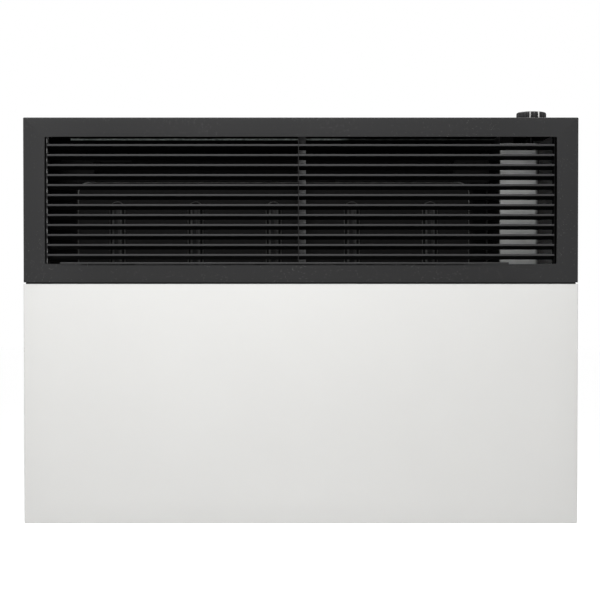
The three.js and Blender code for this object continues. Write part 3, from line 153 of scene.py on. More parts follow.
class Finish:
    """A material in the making: a principled shader, the piece's own coordinates and the nodes that feed it."""

    def __init__(self, name, colour, roughness=0.5, **constants):
        self.material = bpy.data.materials.new(name)
        self.material.use_nodes = True
        self.material.diffuse_color = (*colour, 1.0)
        self.tree = self.material.node_tree
        self.tree.nodes.clear()
        self.shader = self.node("ShaderNodeBsdfPrincipled")
        self.output = self.node("ShaderNodeOutputMaterial")
        self.tree.links.new(self.shader.outputs["BSDF"], self.output.inputs["Surface"])
        self.coordinates = self.node("ShaderNodeTexCoord").outputs["Object"]
        self.colour = (*colour, 1.0)
        self.shader.inputs["Base Color"].default_value = self.colour
        self.shader.inputs["Roughness"].default_value = roughness
        for socket, constant in constants.items():
            self.shader.inputs[socket.replace("_", " ")].default_value = constant

    def node(self, kind, settings=None, inputs=None):
        """A node of this kind: its settings first, then the value or link of each named or numbered socket."""
        node = self.tree.nodes.new(kind)
        for setting, choice in (settings or {}).items():
            setattr(node, setting, choice)
        for socket, given in (inputs or {}).items():
            given = given.socket if isinstance(given, Value) else given
            if isinstance(given, bpy.types.NodeSocket):
                self.tree.links.new(given, node.inputs[socket])
            else:
                node.inputs[socket].default_value = given
        return node

    def value(self, kind, settings=None, inputs=None, output=0):
        """One output of a new node, as a number to reckon with."""
        return Value(self, self.node(kind, settings, inputs).outputs[output])

    def maths(self, operation, *terms):
        return self.value("ShaderNodeMath", {"operation": operation}, dict(enumerate(terms)))

    def stretched(self, stretch):
        """The piece's coordinates, each times its own factor, so that a pattern is drawn out along a direction."""
        inputs = {0: self.coordinates, 1: stretch}
        return self.node("ShaderNodeVectorMath", {"operation": "MULTIPLY"}, inputs).outputs[0]

    def axis(self, letter):
        split = self.node("ShaderNodeSeparateXYZ", inputs={0: self.coordinates})
        return Value(self, split.outputs[letter])

    def facing(self, letter):
        """How far the surface looks along an axis, from minus one to one."""
        normal = self.node("ShaderNodeNewGeometry").outputs["Normal"]
        return Value(self, self.node("ShaderNodeSeparateXYZ", inputs={0: normal}).outputs[letter])

    def noise(self, scale, detail=2.0, rough=0.5, stretch=(1.0, 1.0, 1.0)):
        """Cloudy noise from 0 to 1 with this many features to the metre."""
        inputs = {"Vector": self.stretched(stretch), "Scale": scale, "Detail": detail, "Roughness": rough}
        return self.value("ShaderNodeTexNoise", None, inputs, "Fac")

    def cells(self, scale, feature="F1"):
        """Distance within a cell pattern, to the cell's middle or to its edge."""
        inputs = {"Vector": self.coordinates, "Scale": scale}
        return self.value("ShaderNodeTexVoronoi", {"feature": feature}, inputs, "Distance")

    def cell_shade(self, scale):
        """One random number for each crystal of a cell pattern."""
        inputs = {"Vector": self.coordinates, "Scale": scale}
        tint = self.node("ShaderNodeTexVoronoi", {"feature": "F1"}, inputs).outputs["Color"]
        return Value(self, self.node("ShaderNodeSeparateColor", inputs={0: tint}).outputs[0])

    def seen_straight(self):
        """One for rays from the camera, from a mirror or through glass; nought for the light that falls on things."""
        path = self.node("ShaderNodeLightPath")
        camera, glossy, through = (Value(self, path.outputs[name])
                                   for name in ("Is Camera Ray", "Is Glossy Ray", "Is Transmission Ray"))
        return camera.at_least(glossy).at_least(through)

    def blend(self, mask, first, second):
        """First colour where the mask is nought, second where it is one."""
        inputs = {0: mask, 6: first, 7: second}
        return self.node("ShaderNodeMix", {"data_type": "RGBA"}, inputs).outputs[2]

    def tones(self, mask, dark, light):
        """The finish's colour made darker to lighter by two factors as the mask goes from nought to one."""
        low, high = (tuple(channel * factor for channel in self.colour[:3]) + (1.0,) for factor in (dark, light))
        return self.blend(mask, low, high)

    def set(self, socket, given):
        given = given.socket if isinstance(given, Value) else given
        self.tree.links.new(given, self.shader.inputs[socket])

    def finished(self, shade, roughness=None, height=None, depth=0.0, strength=1.0):
        """The material with its colour, its roughness and a bump this deep in metres from a height of 0 to 1."""
        self.set("Base Color", shade)
        if roughness is not None:
            self.set("Roughness", roughness)
        if height is not None:
            inputs = {"Height": height, "Distance": depth, "Strength": strength}
            self.set("Normal", self.value("ShaderNodeBump", None, inputs, "Normal"))
        return self.material


# ---------------------------------------------------------------- finishes

def edge_wear(finish, low, high, reach):
    """One along the edges of the box between two corners, where two of its faces are both this near."""
    near = []
    for letter, start, end in zip("XYZ", low, high):
        place = finish.axis(letter)
        middle, half = (start + end) / 2, (end - start) / 2
        near.append(abs(place - middle).between(half - reach, half))
    x, y, z = near
    return (x * y + y * z + x * z).at_most(1.0)


def grey(level):
    """The same amount of red, green and blue."""
    return level, level, level


def powder_coat(name, colour, roughness, peel_depth, spread=0.07, layers=(), **constants):
    """Baked powder paint: orange peel a millimetre wide, fine grit and slow drifts of tone, then layers over it."""
    finish = Finish(name, colour, roughness, **constants)
    drift = finish.noise(5.0, 3.0)
    grit = finish.noise(1900.0, 1.0)
    mask = (drift * 0.65 + grit * 0.35).between(0.25, 0.75)
    shade = finish.tones(mask, 1.0 - spread, 1.0 + spread)
    for layer in layers:
        shade = layer(finish, shade)
    return finish.finished(shade, roughness - 0.05 + 0.1 * finish.noise(23.0, 3.0) + 0.04 * grit,
                           finish.noise(820.0, 2.0) * 0.7 + grit * 0.3, peel_depth, 0.5)


def black_paint(name, level, roughness, reflection, layers=(), spread=0.07):
    """Thin black coat on a part behind the grille, with little reflection."""
    return powder_coat(name, grey(level), roughness, 4e-5, spread, layers, Specular_IOR_Level=reflection)


def lighter_ends(share):
    """Paint layer: lighter by a share towards both ends of the cabinet."""
    def layer(finish, shade):
        light = tuple(channel * (1.0 + share) for channel in finish.colour[:3])
        outer = abs(finish.axis("X")).between(0.3, 0.47)
        return finish.blend(outer * (0.7 + 0.3 * finish.noise(5.0, 3.0)), shade, (*light, 1.0))
    return layer


def rubbed_edges(box, bare_and_highlight):
    """Paint layer: chipped and worn through to the metal's colour along the edges of a box."""
    def layer(finish, shade):
        chips = finish.noise(160.0, 3.0).between(0.52, 0.7)
        wear = edge_wear(finish, *box, 0.0022) * (0.3 + 0.7 * chips)
        return finish.blend(wear * 0.5, shade, (*bare_and_highlight, 1.0))
    return layer


def bare_front(level, start):
    """Paint layer: painted light, a pale patch on what looks forwards, to the right of a place x."""
    def layer(finish, shade):
        forward = 1.0 - finish.facing("Y").between(-0.9, -0.6)
        shown = finish.axis("X").between(start, start + 0.002) * forward
        return finish.blend(shown * (0.8 + 0.2 * finish.noise(23.0, 3.0)), shade, (*grey(level), 1.0))
    return layer


def clean_underside(level):
    """Paint layer: painted shade, a darker colour on what faces down."""
    return lambda finish, shade: finish.blend(finish.facing("Z").between(-0.75, -0.1), (*grey(level), 1.0), shade)


def settled_dust(share):
    """Paint layer: pale specks of dust, gathered in patches."""
    def layer(finish, shade):
        dots = 1.0 - finish.cells(520.0).between(0.10, 0.2)
        gathered = (finish.cell_shade(520.0) * 0.6 + finish.noise(14.0, 3.0) * 0.8).between(0.85, 1.0)
        return finish.blend(dots * gathered * share, shade, (0.5, 0.5, 0.48, 1.0))
    return layer


def bright_strip(bare_and_highlight, near, far, dashes=None, fades_at=None):
    """Paint layer: a painted highlight between two depths y, patchy.

    It may fade out at a place x, or be broken into dashes: first height, step, share of each step that shows, and
    the range of x.
    """
    def layer(finish, shade):
        depth = finish.axis("Y")
        inside = depth.between(near - 0.0002, near) * (1.0 - depth.between(far, far + 0.0002))
        shown = 0.6 + 0.4 * finish.noise(130.0, 3.0).between(0.35, 0.6)
        across = finish.axis("X")
        if fades_at is not None:
            shown = shown * (1.0 - 0.9 * across.between(fades_at - 0.02, fades_at))
        if dashes is not None:
            first, step, share, left, right = dashes
            place = finish.maths("FRACT", (finish.axis("Z") - first) / step)
            shown = shown * place.between(0.0, 0.06) * (1.0 - place.between(share - 0.06, share))
            shown = shown * across.between(left - 0.0002, left) * (1.0 - across.between(right, right + 0.0002))
        return finish.blend(inside * shown, shade, (*bare_and_highlight, 1.0))
    return layer


def zinc(name, colour, roughness, crystal, spread, painted_shade_behind=None, metallic=0.75):
    """Hot dipped zinc: frosty crystals, each with its own brightness, dull grain, drag marks and white bloom.

    With a depth y the sheet is the shield's: painted shade makes it black behind that depth and painted light makes it
    brightest near its upper end.
    """
    finish = Finish(name, colour, roughness, Metallic=metallic)
    crystals = finish.cell_shade(crystal)
    small = finish.cell_shade(crystal * 2.7)
    seams = finish.cells(crystal, "DISTANCE_TO_EDGE").between(0.0, 0.09)
    cloud = finish.noise(9.0, 4.0)
    drag = finish.noise(60.0, 3.0, stretch=(1.0, 1.0, 0.06))
    mask = crystals * 0.38 + small * 0.2 + cloud * 0.22 + drag * 0.2
    shade = finish.tones(mask, 1.0 - spread, 1.0 + spread)
    bloom = (cloud * finish.noise(45.0, 4.0)).between(0.3, 0.42)
    dull = tuple(min(1.0, channel * 1.15) for channel in colour)
    shade = finish.blend(bloom * 0.35, shade, (*dull, 1.0))
    if painted_shade_behind is not None:
        # painted light: the sheet lighter towards its upper end
        shade = finish.blend(finish.axis("Z").between(-0.08, 0.03) * 0.85, shade, (0.92, 0.93, 0.92, 1.0))
        # painted shade: black and less metallic on the web behind the given depth
        shaded_web = (finish.axis("Y") + 0.004 * cloud).between(painted_shade_behind, painted_shade_behind + 0.004)
        shade = finish.blend(shaded_web, shade, (*grey(0.006), 1.0))
        finish.set("Metallic", metallic * (1.0 - shaded_web))
    return finish.finished(shade, roughness - 0.08 + 0.16 * small + 0.1 * bloom,
                           crystals * 0.35 + seams * 0.25 + drag * 0.4, 0.00005, 0.35)


CHAMBER_MIDDLE = (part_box("chamber_front")[0][0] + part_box("chamber_front")[1][0]) / 2


def stove_black(name, colour):
    """Heat resisting black on pressed steel: speckled, browner in drifting patches, with painted highlights on its
    bends.
    """
    finish = Finish(name, colour, 0.4, Specular_IOR_Level=0.1)
    speckle = finish.noise(900.0, 2.0)
    drift = finish.noise(7.0, 4.0)
    mask = (speckle * 0.5 + drift * 0.5).between(0.3, 0.7)
    shade = finish.tones(mask, 0.75, 1.35)
    burnt = finish.noise(4.0, 3.0).between(0.5, 0.75)
    brown = (colour[0] * 1.3, colour[1] * 1.1, colour[2], 1.0)
    shade = finish.blend(burnt * 0.4, shade, brown)
    # painted highlight: pale lines where the surface turns away from the front, on the beads' feet and crests and on
    # the rounded edge, only on the front of the dish
    tilt = 1.0 - abs(finish.facing("Y"))
    bends = tilt.between(0.002, 0.012) * (1.0 - tilt.between(0.2, 0.36))
    forward = 1.0 - finish.axis("Y").between(-0.163, -0.155)
    bend_highlight = bends * forward * (0.6 + 0.4 * finish.noise(75.0, 3.0).between(0.35, 0.65))
    # painted highlight made stronger near the chamber's two upper corners
    corner = abs(finish.axis("X") - CHAMBER_MIDDLE).between(0.30, 0.325) * finish.axis("Z").between(-0.06, -0.035)
    shade = finish.blend(bend_highlight * (0.36 + 0.64 * corner), shade, (0.25, 0.25, 0.245, 1.0))
    return finish.finished(shade, 0.32 + 0.16 * drift, speckle * 0.6 + finish.noise(240.0, 3.0) * 0.4, 0.00004, 0.4)


def worked_metal(name, colour, roughness, stretch, spread, tarnish):
    """Bare metal with fine marks along its working direction and soft tarnish that gathers in patches."""
    finish = Finish(name, colour, roughness, Metallic=1.0)
    marks = finish.noise(420.0, 3.0, 0.6, stretch)
    patches = finish.noise(26.0, 4.0, 0.6)
    mask = (marks * 0.5 + patches * 0.5).between(0.25, 0.75)
    shade = finish.tones(mask, 1.0 - spread, 1.0 + spread)
    stained = patches.between(0.5, 0.72) * 0.4
    return finish.finished(finish.blend(stained, shade, (*tarnish, 1.0)),
                           roughness - 0.06 + 0.12 * marks + 0.12 * stained, marks, 0.00003, 0.35)


def casting(name, colour, roughness):
    """Die cast aluminium: grey skin with a fine pebble, flow shadows and brighter high spots."""
    finish = Finish(name, colour, roughness, Metallic=0.85)
    pebble = finish.noise(1300.0, 2.0)
    flow = finish.noise(35.0, 4.0)
    mask = (pebble * 0.4 + flow * 0.6).between(0.25, 0.75)
    return finish.finished(finish.tones(mask, 0.75, 1.2), roughness - 0.06 + 0.14 * flow, pebble, 0.00006, 0.5)


def moulded(name, colour, roughness, **constants):
    """Moulded plastic: spark-eroded grain, faint flow clouds and rubbed, slightly shinier spots."""
    finish = Finish(name, colour, roughness, **constants)
    grain = finish.noise(2600.0, 2.0)
    cloud = finish.noise(55.0, 3.0)
    shade = finish.tones((grain * 0.3 + cloud * 0.7).between(0.3, 0.7), 0.88, 1.12)
    # Moulded plastic: spark-eroded grain, faint flow clouds and worn, slightly shinier spots.
    return finish.finished(shade, roughness - 0.07 + 0.14 * cloud + 0.05 * grain, grain, 0.00003, 0.4)


def woven_fibre(name, colour):
    """Woven glass rope: crossing threads a millimetre apart, fuzzy, with soot here and there."""
    finish = Finish(name, colour, 0.95)
    pitch = 2.0 * math.pi * 700.0
    x, y, z = (finish.axis(letter) for letter in "XYZ")
    wobble = finish.noise(90.0, 2.0) * 3.0
    one = ((x + z) * pitch + wobble).wave()
    other = ((x - z + y) * pitch + wobble).wave()
    weave = (one * other) * 0.5 + 0.5
    soot = finish.noise(18.0, 3.0).between(0.5, 0.75)
    shade = finish.blend(soot * 0.5, finish.tones(weave, 0.75, 1.1), (0.16, 0.14, 0.12, 1.0))
    return finish.finished(shade, height=weave * 0.7 + finish.noise(1500.0, 2.0) * 0.3, depth=0.0002, strength=0.6)


def clear_glass(name):
    """Clear heat resisting glass with a faint haze and a few smears."""
    finish = Finish(name, (0.86, 0.92, 0.9), 0.04, IOR=1.47, Transmission_Weight=1.0)
    smear = finish.noise(70.0, 3.0, stretch=(1.0, 1.0, 0.3)).between(0.5, 0.75)
    return finish.finished(finish.tones(smear, 0.97, 1.0), 0.02 + 0.12 * smear)


def glazed_ceramic(name, colour):
    """Glazed white sleeve with a crackle and pin holes."""
    finish = Finish(name, colour, 0.22)
    crackle = finish.cells(500.0, "DISTANCE_TO_EDGE").between(0.0, 0.05)
    cloud = finish.noise(120.0, 3.0)
    shade = finish.tones(crackle * 0.6 + cloud * 0.4, 0.82, 1.04)
    return finish.finished(shade, 0.16 + 0.14 * cloud, crackle, 0.00002, 0.3)


def printed(name, colour):
    """Screen printed ink: thin, even, a little broken where the paint's grain shows through."""
    finish = Finish(name, colour, 0.5)
    gaps = finish.noise(2400.0, 2.0).between(0.3, 0.7)
    return finish.finished(finish.tones(gaps, 0.86, 1.02), 0.42 + 0.16 * gaps, gaps, 0.00001, 0.3)


HOOD_BOX, PANEL_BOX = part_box("hood"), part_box("front_panel")
BLADE_TOP, BLADE_PITCH = 0.6348, 0.01665
LEFT_DASHES = (FOOT + BLADE_TOP, BLADE_PITCH, 0.5, -0.4232, -0.4217)
CONTROLS_START = 0.40
FINISHES = {
    "hood_paint": powder_coat(
        "hood_paint", (0.0180, 0.0180, 0.0184), 0.45, 5e-5, Specular_IOR_Level=0.17,
        layers=(lighter_ends(0.35), rubbed_edges(HOOD_BOX, grey(0.08)), settled_dust(0.5))),
    # painted shade: the blades darker on what faces down
    "louvre_paint": powder_coat("louvre_paint", (0.046, 0.046, 0.047), 0.42, 4e-5, Specular_IOR_Level=0.05,
                                layers=[clean_underside(0.002)]),
    "post_paint": black_paint("post_paint", 0.016, 0.5, 0.1),
    "white_paint": powder_coat("white_paint", (0.755, 0.752, 0.735), 0.36, 4e-5, 0.012,
                               [rubbed_edges(PANEL_BOX, (0.6, 0.6, 0.59))]),
    # painted light: a pale patch on the chassis's front at its right end, behind the controls
    "chassis_black": black_paint("chassis_black", 0.006, 0.6, 0.15, [bare_front(0.75, CONTROLS_START)], 0.15),
    "galvanised": zinc("galvanised", (0.46, 0.47, 0.47), 0.42, 55.0, 0.22),
    "shield_zinc": zinc("shield_zinc", (0.48, 0.49, 0.48), 0.45, 90.0, 0.12, painted_shade_behind=-0.1705, metallic=0.3),
    "chamber_black": stove_black("chamber_black", (0.0048, 0.0047, 0.0045)),
    "stainless": worked_metal("stainless", (0.46, 0.45, 0.43), 0.32, (0.1, 1.0, 1.0), 0.12, (0.30, 0.24, 0.17)),
    "brass": worked_metal("brass", (0.60, 0.42, 0.17), 0.3, (1.0, 1.0, 0.15), 0.14, (0.25, 0.16, 0.08)),
    "copper": worked_metal("copper", (0.62, 0.30, 0.19), 0.3, (0.2, 0.2, 0.2), 0.16, (0.20, 0.09, 0.06)),
    "cast_aluminium": casting("cast_aluminium", (0.48, 0.49, 0.50), 0.5),
    "aluminium_tube": worked_metal("aluminium_tube", (0.62, 0.63, 0.64), 0.34, (0.1, 0.1, 1.0), 0.1, grey(0.4)),
    "knob_plastic": moulded("knob_plastic", (0.012, 0.012, 0.0125), 0.45, Specular_IOR_Level=0.25),
    "igniter_plastic": moulded("igniter_plastic", (0.024, 0.024, 0.025), 0.44),
    "fibre": woven_fibre("fibre", (0.62, 0.58, 0.5)),
    "glass": clear_glass("glass"),
    "ceramic": glazed_ceramic("ceramic", (0.82, 0.8, 0.74)),
    "lead_cover": moulded("lead_cover", (0.008, 0.0076, 0.0076), 0.7),
}
SHOWN_AS = {
    # painted highlight: the left post's unpainted front edge made bright, in dashes between the blades
    "louvre_post_left": black_paint("post_left_paint", 0.016, 0.5, 0.1,
                                    [bright_strip(grey(0.34), -0.2440, -0.2427, dashes=LEFT_DASHES)]),
    # painted highlight: a lighter strip on the centre post's flange, standing in for light falling between the blades
    "louvre_post_centre": black_paint("post_centre_paint", 0.016, 0.5, 0.1,
                                      [bright_strip(grey(0.13), -0.2231, -0.2200)]),
    # painted shade: the right post darker and duller than the other two
    "louvre_post_right": black_paint("post_right_shaded_paint", 0.003, 0.7, 0.03),
    "joint_strip": black_paint("joint_strip_black", 0.003, 0.7, 0.03),
}
# painted highlight: the deflector's unpainted front edge made bright, fading out towards the right
DEFLECTOR_BLACK = black_paint("deflector_black", 0.006, 0.6, 0.1,
                              [bright_strip((0.9, 1.0, 0.96), -0.2010, -0.1992, fades_at=0.085)], 0.15)
ROD_STEEL = worked_metal("rod_steel", grey(0.05), 0.45, (1.0, 1.0, 0.1), 0.12, (0.03, 0.025, 0.02))
PALE_PRINT = printed("pale_print", (0.78, 0.78, 0.76))


# ---------------------------------------------------------------- surfaces

def lattice(rows, columns, round_rows=False, round_columns=False):
    """Corner numbers of a grid's squares; a round direction joins its last line to its first."""
    i = np.arange(rows if round_rows else rows - 1)[:, None]
    j = np.arange(columns if round_columns else columns - 1)[None, :]
    here, there = (j % columns), ((j + 1) % columns)
    low, high = (i % rows) * columns, ((i + 1) % rows) * columns
    return np.stack([low + here, low + there, high + there, high + here], -1).reshape(-1, 4)


def loft(loops, ring=False):
    """Closed loops joined each to the next, either capped at both ends or closed to a ring."""
    loops = np.asarray(loops, float)
    count, around = loops.shape[:2]
    faces = lattice(count, around, round_rows=ring, round_columns=True).tolist()
    if not ring:
        faces.append(list(range(around))[::-1])
        faces.append(list(range((count - 1) * around, count * around)))
    return loops.reshape(-1, 3), faces


def volume(points, faces):
    """Signed volume inside a shell: the sum of each fan triangle's triple product, over six."""
    total = 0.0
    for corners in sorted({len(face) for face in faces}):
        ring = points[np.array([face for face in faces if len(face) == corners])]
        for k in range(1, corners - 1):
            total += np.einsum("ij,ij->i", ring[:, 0], np.cross(ring[:, k], ring[:, k + 1])).sum()
    return total / 6.0


def outward(shell):
    """The same closed shell with its faces turned to point outwards."""
    points, faces = shell
    if volume(points, faces) < 0.0:
        faces = [face[::-1] for face in faces]
    return points, faces


def quarter(count):
    """Angles from nought to a right angle."""
    return np.linspace(0.0, 0.5 * np.pi, count)


def all_round(count):
    """Equal angles once round, from nought."""
    return np.arange(count) * 2.0 * np.pi / count


def rounded_loop(a0, a1, b0, b1, radius, inset, steps):
    """Points round a rectangle drawn in by an inset, with quarter circles: each centre plus radius times (cos, sin)."""
    reach = max(radius - inset, 0.01)
    turn = quarter(steps + 1)
    centres = [(a1 - inset - reach, b1 - inset - reach), (a0 + inset + reach, b1 - inset - reach),
               (a0 + inset + reach, b0 + inset + reach), (a1 - inset - reach, b0 + inset + reach)]
    arcs = [np.stack([a + reach * np.cos(turn + k * np.pi / 2), b + reach * np.sin(turn + k * np.pi / 2)], -1)
            for k, (a, b) in enumerate(centres)]
    return np.concatenate(arcs)


def circle(a, b, radius, sides=48):
    """Points round a circle: centre plus radius times (cos, sin)."""
    turn = all_round(sides)
    return np.stack([a + radius * np.cos(turn), b + radius * np.sin(turn)], -1)


def upright(loop, y):
    """A front-view loop (x, z) stood up at depth y."""
    return np.stack([loop[:, 0], np.full(len(loop), float(y)), loop[:, 1]], -1)


def level(loop, z):
    """A plan loop (x, y) laid at height z."""
    return np.stack([loop[:, 0], loop[:, 1], np.full(len(loop), float(z))], -1)


def sideways(loop, x):
    """A side-view loop (y, z) placed at x."""
    return np.stack([np.full(len(loop), float(x)), loop[:, 0], loop[:, 1]], -1)


def folded(path, radius, steps=5):
    """A bent line: each inner corner of the path becomes a circular arc that touches both of its runs."""
    path = [np.array(point, float) for point in path]
    points = [path[0]]
    for before, corner, after in zip(path, path[1:], path[2:]):
        back, ahead = before - corner, after - corner
        back_length, ahead_length = np.linalg.norm(back), np.linalg.norm(ahead)
        back, ahead = back / back_length, ahead / ahead_length
        half = 0.5 * math.acos(float(np.clip(back @ ahead, -1.0, 1.0)))
        if half > 1.55:
            points.append(corner)
            continue
        setback = min(radius / math.tan(half), 0.48 * back_length, 0.48 * ahead_length)
        middle = (back + ahead) / np.linalg.norm(back + ahead)
        centre = corner + middle * (setback / math.cos(half))
        reach = setback * math.tan(half)
        first, last = corner + back * setback - centre, corner + ahead * setback - centre
        sweep = math.acos(float(np.clip(first @ last / reach ** 2, -1.0, 1.0)))
        for t in np.linspace(0.0, 1.0, steps + 1):
            blend = (math.sin((1 - t) * sweep) * first + math.sin(t * sweep) * last) / math.sin(sweep)
            points.append(centre + blend)
    points.append(path[-1])
    return np.array(points)


def ribbon(path, thickness):
    """Outline of a folded sheet seen edge on: its middle line moved half its thickness to either side, ends rounded."""
    run = np.gradient(path, axis=0)
    run /= np.linalg.norm(run, axis=1)[:, None]
    side = np.stack([-run[:, 1], run[:, 0]], -1)
    half = thickness / 2
    end = 0.35 * half
    edges = []
    for out in (side, -side):
        first = [path[0] + out[0] * (half - end), path[0] + out[0] * half + run[0] * end]
        last = [path[-1] + out[-1] * half - run[-1] * end, path[-1] + out[-1] * (half - end)]
        edges.append(np.concatenate([first, (path + out * half)[1:-1], last]))
    return np.concatenate([edges[0], edges[1][::-1]])


def turned(profile, centre, axis="z", sides=64, ring=False):
    """A profile of (radius, place) turned about an axis: each of its points becomes a circle."""
    stand = {"z": level, "y": upright, "x": sideways}[axis]
    return loft([stand(circle(*centre, max(radius, 0.01), sides), place) for radius, place in profile], ring=ring)


def tube(path, radius, bend):
    """A round tube along a bent path: at each point a circle square to the run, turned as little as possible."""
    line = folded(path, bend, 8)
    run = np.gradient(line, axis=0)
    run /= np.linalg.norm(run, axis=1)[:, None]
    across = np.cross(run[0], [0.31, 0.87, 0.39])
    loops = []
    turn = all_round(20)
    for point, ahead in zip(line, run):
        across = across - ahead * (across @ ahead)
        across /= np.linalg.norm(across)
        up = np.cross(ahead, across)
        loops.append(point + radius * (np.cos(turn)[:, None] * across + np.sin(turn)[:, None] * up))
    return loft(loops)


def joined(shells):
    """Several shells as one list of points and faces."""
    points, faces, start = [], [], 0
    for shell_points, shell_faces in shells:
        points.append(shell_points)
        faces += [[corner + start for corner in face] for face in shell_faces]
        start += len(shell_points)
    return np.concatenate(points), faces


def piece(name, shells, slot, body="heater", replaces=(), sharp=38.0, sheet=0.0, material=None, closed=True):
    """One piece from shells in cabinet millimetres; a sheet is welded and gets its thickness behind its face."""
    shells = shells if isinstance(shells, list) else [shells]
    if closed and not sheet:
        shells = [outward(shell) for shell in shells]
    points, faces = joined(shells)
    mesh = bpy.data.meshes.new(name)
    mesh.from_pydata(placed(points).tolist(), [], faces)
    if sheet:
        work = bmesh.new()
        work.from_mesh(mesh)
        bmesh.ops.remove_doubles(work, verts=work.verts, dist=1e-6)
        bmesh.ops.solidify(work, geom=work.faces[:], thickness=sheet * MM)
        work.to_mesh(mesh)
        work.free()
    mesh.validate()
    mesh.shade_smooth()
    mesh.set_sharp_from_angle(angle=math.radians(sharp))
    mesh.materials.append(material or FINISHES[slot])
    made = added(name, mesh)
    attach(made, body)
    if replaces:
        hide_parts(*replaces)
    return made


def body_of(node):
    """The body of the record that a node belongs to."""
    return next(body for body, nodes in frame["record"]["behaviour"]["bodies"].items() if node in nodes)


def soften(kept):
    """Rounds the edges of a node that is shown as it stands."""
    weld = kept.modifiers.new("weld", "WELD")
    weld.merge_threshold = 1e-5
    bevel = kept.modifiers.new("bevel", "BEVEL")
    bevel.width = 0.0004
    bevel.segments = 2
    bevel.limit_method = "ANGLE"
    bevel.angle_limit = math.radians(32.0)


def in_place_of(node, shells, **options):
    """A piece that stands for one node: it keeps the node's slot and rides on the node's body."""
    return piece(node + "_face", shells, SLOT_OF[node], body=body_of(node), replaces=(node,), **options)


def column(node):
    """The middle of an upright round part in plan, and the heights of its two ends."""
    low, high = span(node)
    return ((low + high) / 2)[:2], low[2], high[2]


# ---------------------------------------------------------------- sizes read from the frame

SHEET = 1.2
BEND = 1.4
(_, FRONT, HOOD_LOW), (RIGHT, CASE_REAR, TOP) = span("hood")
HOOD_LOW += 2.8    # these two lift the dark joint to where it is seen and widen it a little
PANEL_TOP = span("front_panel")[1][2] + 1.2
BLADES = sorted(node for node in frame["nodes"] if node.startswith("louvre_") and node[-1].isdigit())
BEADS, BEAD_PITCH, BEAD_FOOT, BEAD_BELOW_TOP, BEAD_RISE = 5, 134.0, 306.0, 43.0, 7.0    # of the chamber
ROD_HOLE, BUTTON_HOLE = 5.5, 8.5
OPENING_HALF = 427.0
OPENING_TOP = 646.0
WINDOW_LOW = 434.0    # the face's edge, under the rolled sill
OPENING_LOW = 437.2    # the sill's upper edge
SILL_SPAN = (-401.0, 347.0)
FLANGE_FACE = -117.8    # front of the chamber's flange
RAIL_FACE = -16.2    # rear of the wall rails' lips
KNOB_ZERO, KNOB_TURN = 21.0, 260.0    # degrees
IGNITER_TOP = span("piezo_igniter")[1][2]
ROD_X, ROD_Y = column("extension_rod")[0]
BUTTON_Y = column("piezo_button")[0][1]


# ---------------------------------------------------------------- cover

def stations(*stops):
    """Places along an edge: each (start, end, pieces) cut into equal steps, without repeating the joints."""
    runs = [np.linspace(start, end, count + 1)[:-1] for start, end, count in stops]
    return np.concatenate(runs + [[stops[-1][1]]])


def arch_outline(offset, low, high, half, across):
    """Front-view line up the left edge, over the top and down the right one, moved outwards by an offset."""
    corner = 0.3
    reach = corner + offset
    z = np.linspace(low, high - corner, 5)
    turn = quarter(6)[1:-1]
    left = np.stack([np.full(len(z), -half - offset), z], -1)
    left_arc = np.stack([-half + corner - reach * np.cos(turn), high - corner + reach * np.sin(turn)], -1)
    top = np.stack([across, np.full(len(across), high + offset)], -1)
    return np.concatenate([left, left_arc, top, (left_arc * [-1, 1])[::-1], (left * [-1, 1])[::-1]])


def kept_squares(grid, dropped):
    """Faces of an open grid whose middles are not in a dropped region."""
    rows, columns = grid.shape[:2]
    faces = lattice(rows, columns)
    middles = grid.reshape(-1, 3)[faces].mean(1)
    return grid.reshape(-1, 3), faces[~dropped(middles)].tolist()


PATCH = 15.0


def roof_patch(centre, radius, steps):
    """Square of the roof's sheet with a round hole: rings that go from the square's edge to the circle."""
    line = np.linspace(-PATCH, PATCH, steps + 1)[:-1]
    edge = np.full(steps, PATCH)
    square = np.concatenate([np.stack([line, -edge], -1), np.stack([edge, line], -1),
                             np.stack([-line, edge], -1), np.stack([-edge, -line], -1)])
    round_edge = radius * square / np.linalg.norm(square, axis=1)[:, None]
    rings = [np.array(centre) + square * (1 - t) + round_edge * t for t in (0.0, 0.5, 0.85, 1.0)]
    grid = np.stack([level(ring, TOP) for ring in rings])
    return grid.reshape(-1, 3), lattice(4, 4 * steps, round_columns=True).tolist()


def case_wrap(half, low, high, across, back_depths):
    """Grid over a case's front bend and back along its sides and its top: one column for each depth."""
    turn = quarter(7)
    offsets = np.concatenate([BEND * np.sin(turn), np.full(len(back_depths), BEND)])
    depths = np.concatenate([FRONT + BEND * (1 - np.cos(turn)), back_depths])
    outlines = [arch_outline(offset, low, high, half, across) for offset in offsets]
    return np.stack([upright(line, y) for line, y in zip(outlines, depths)], 1)


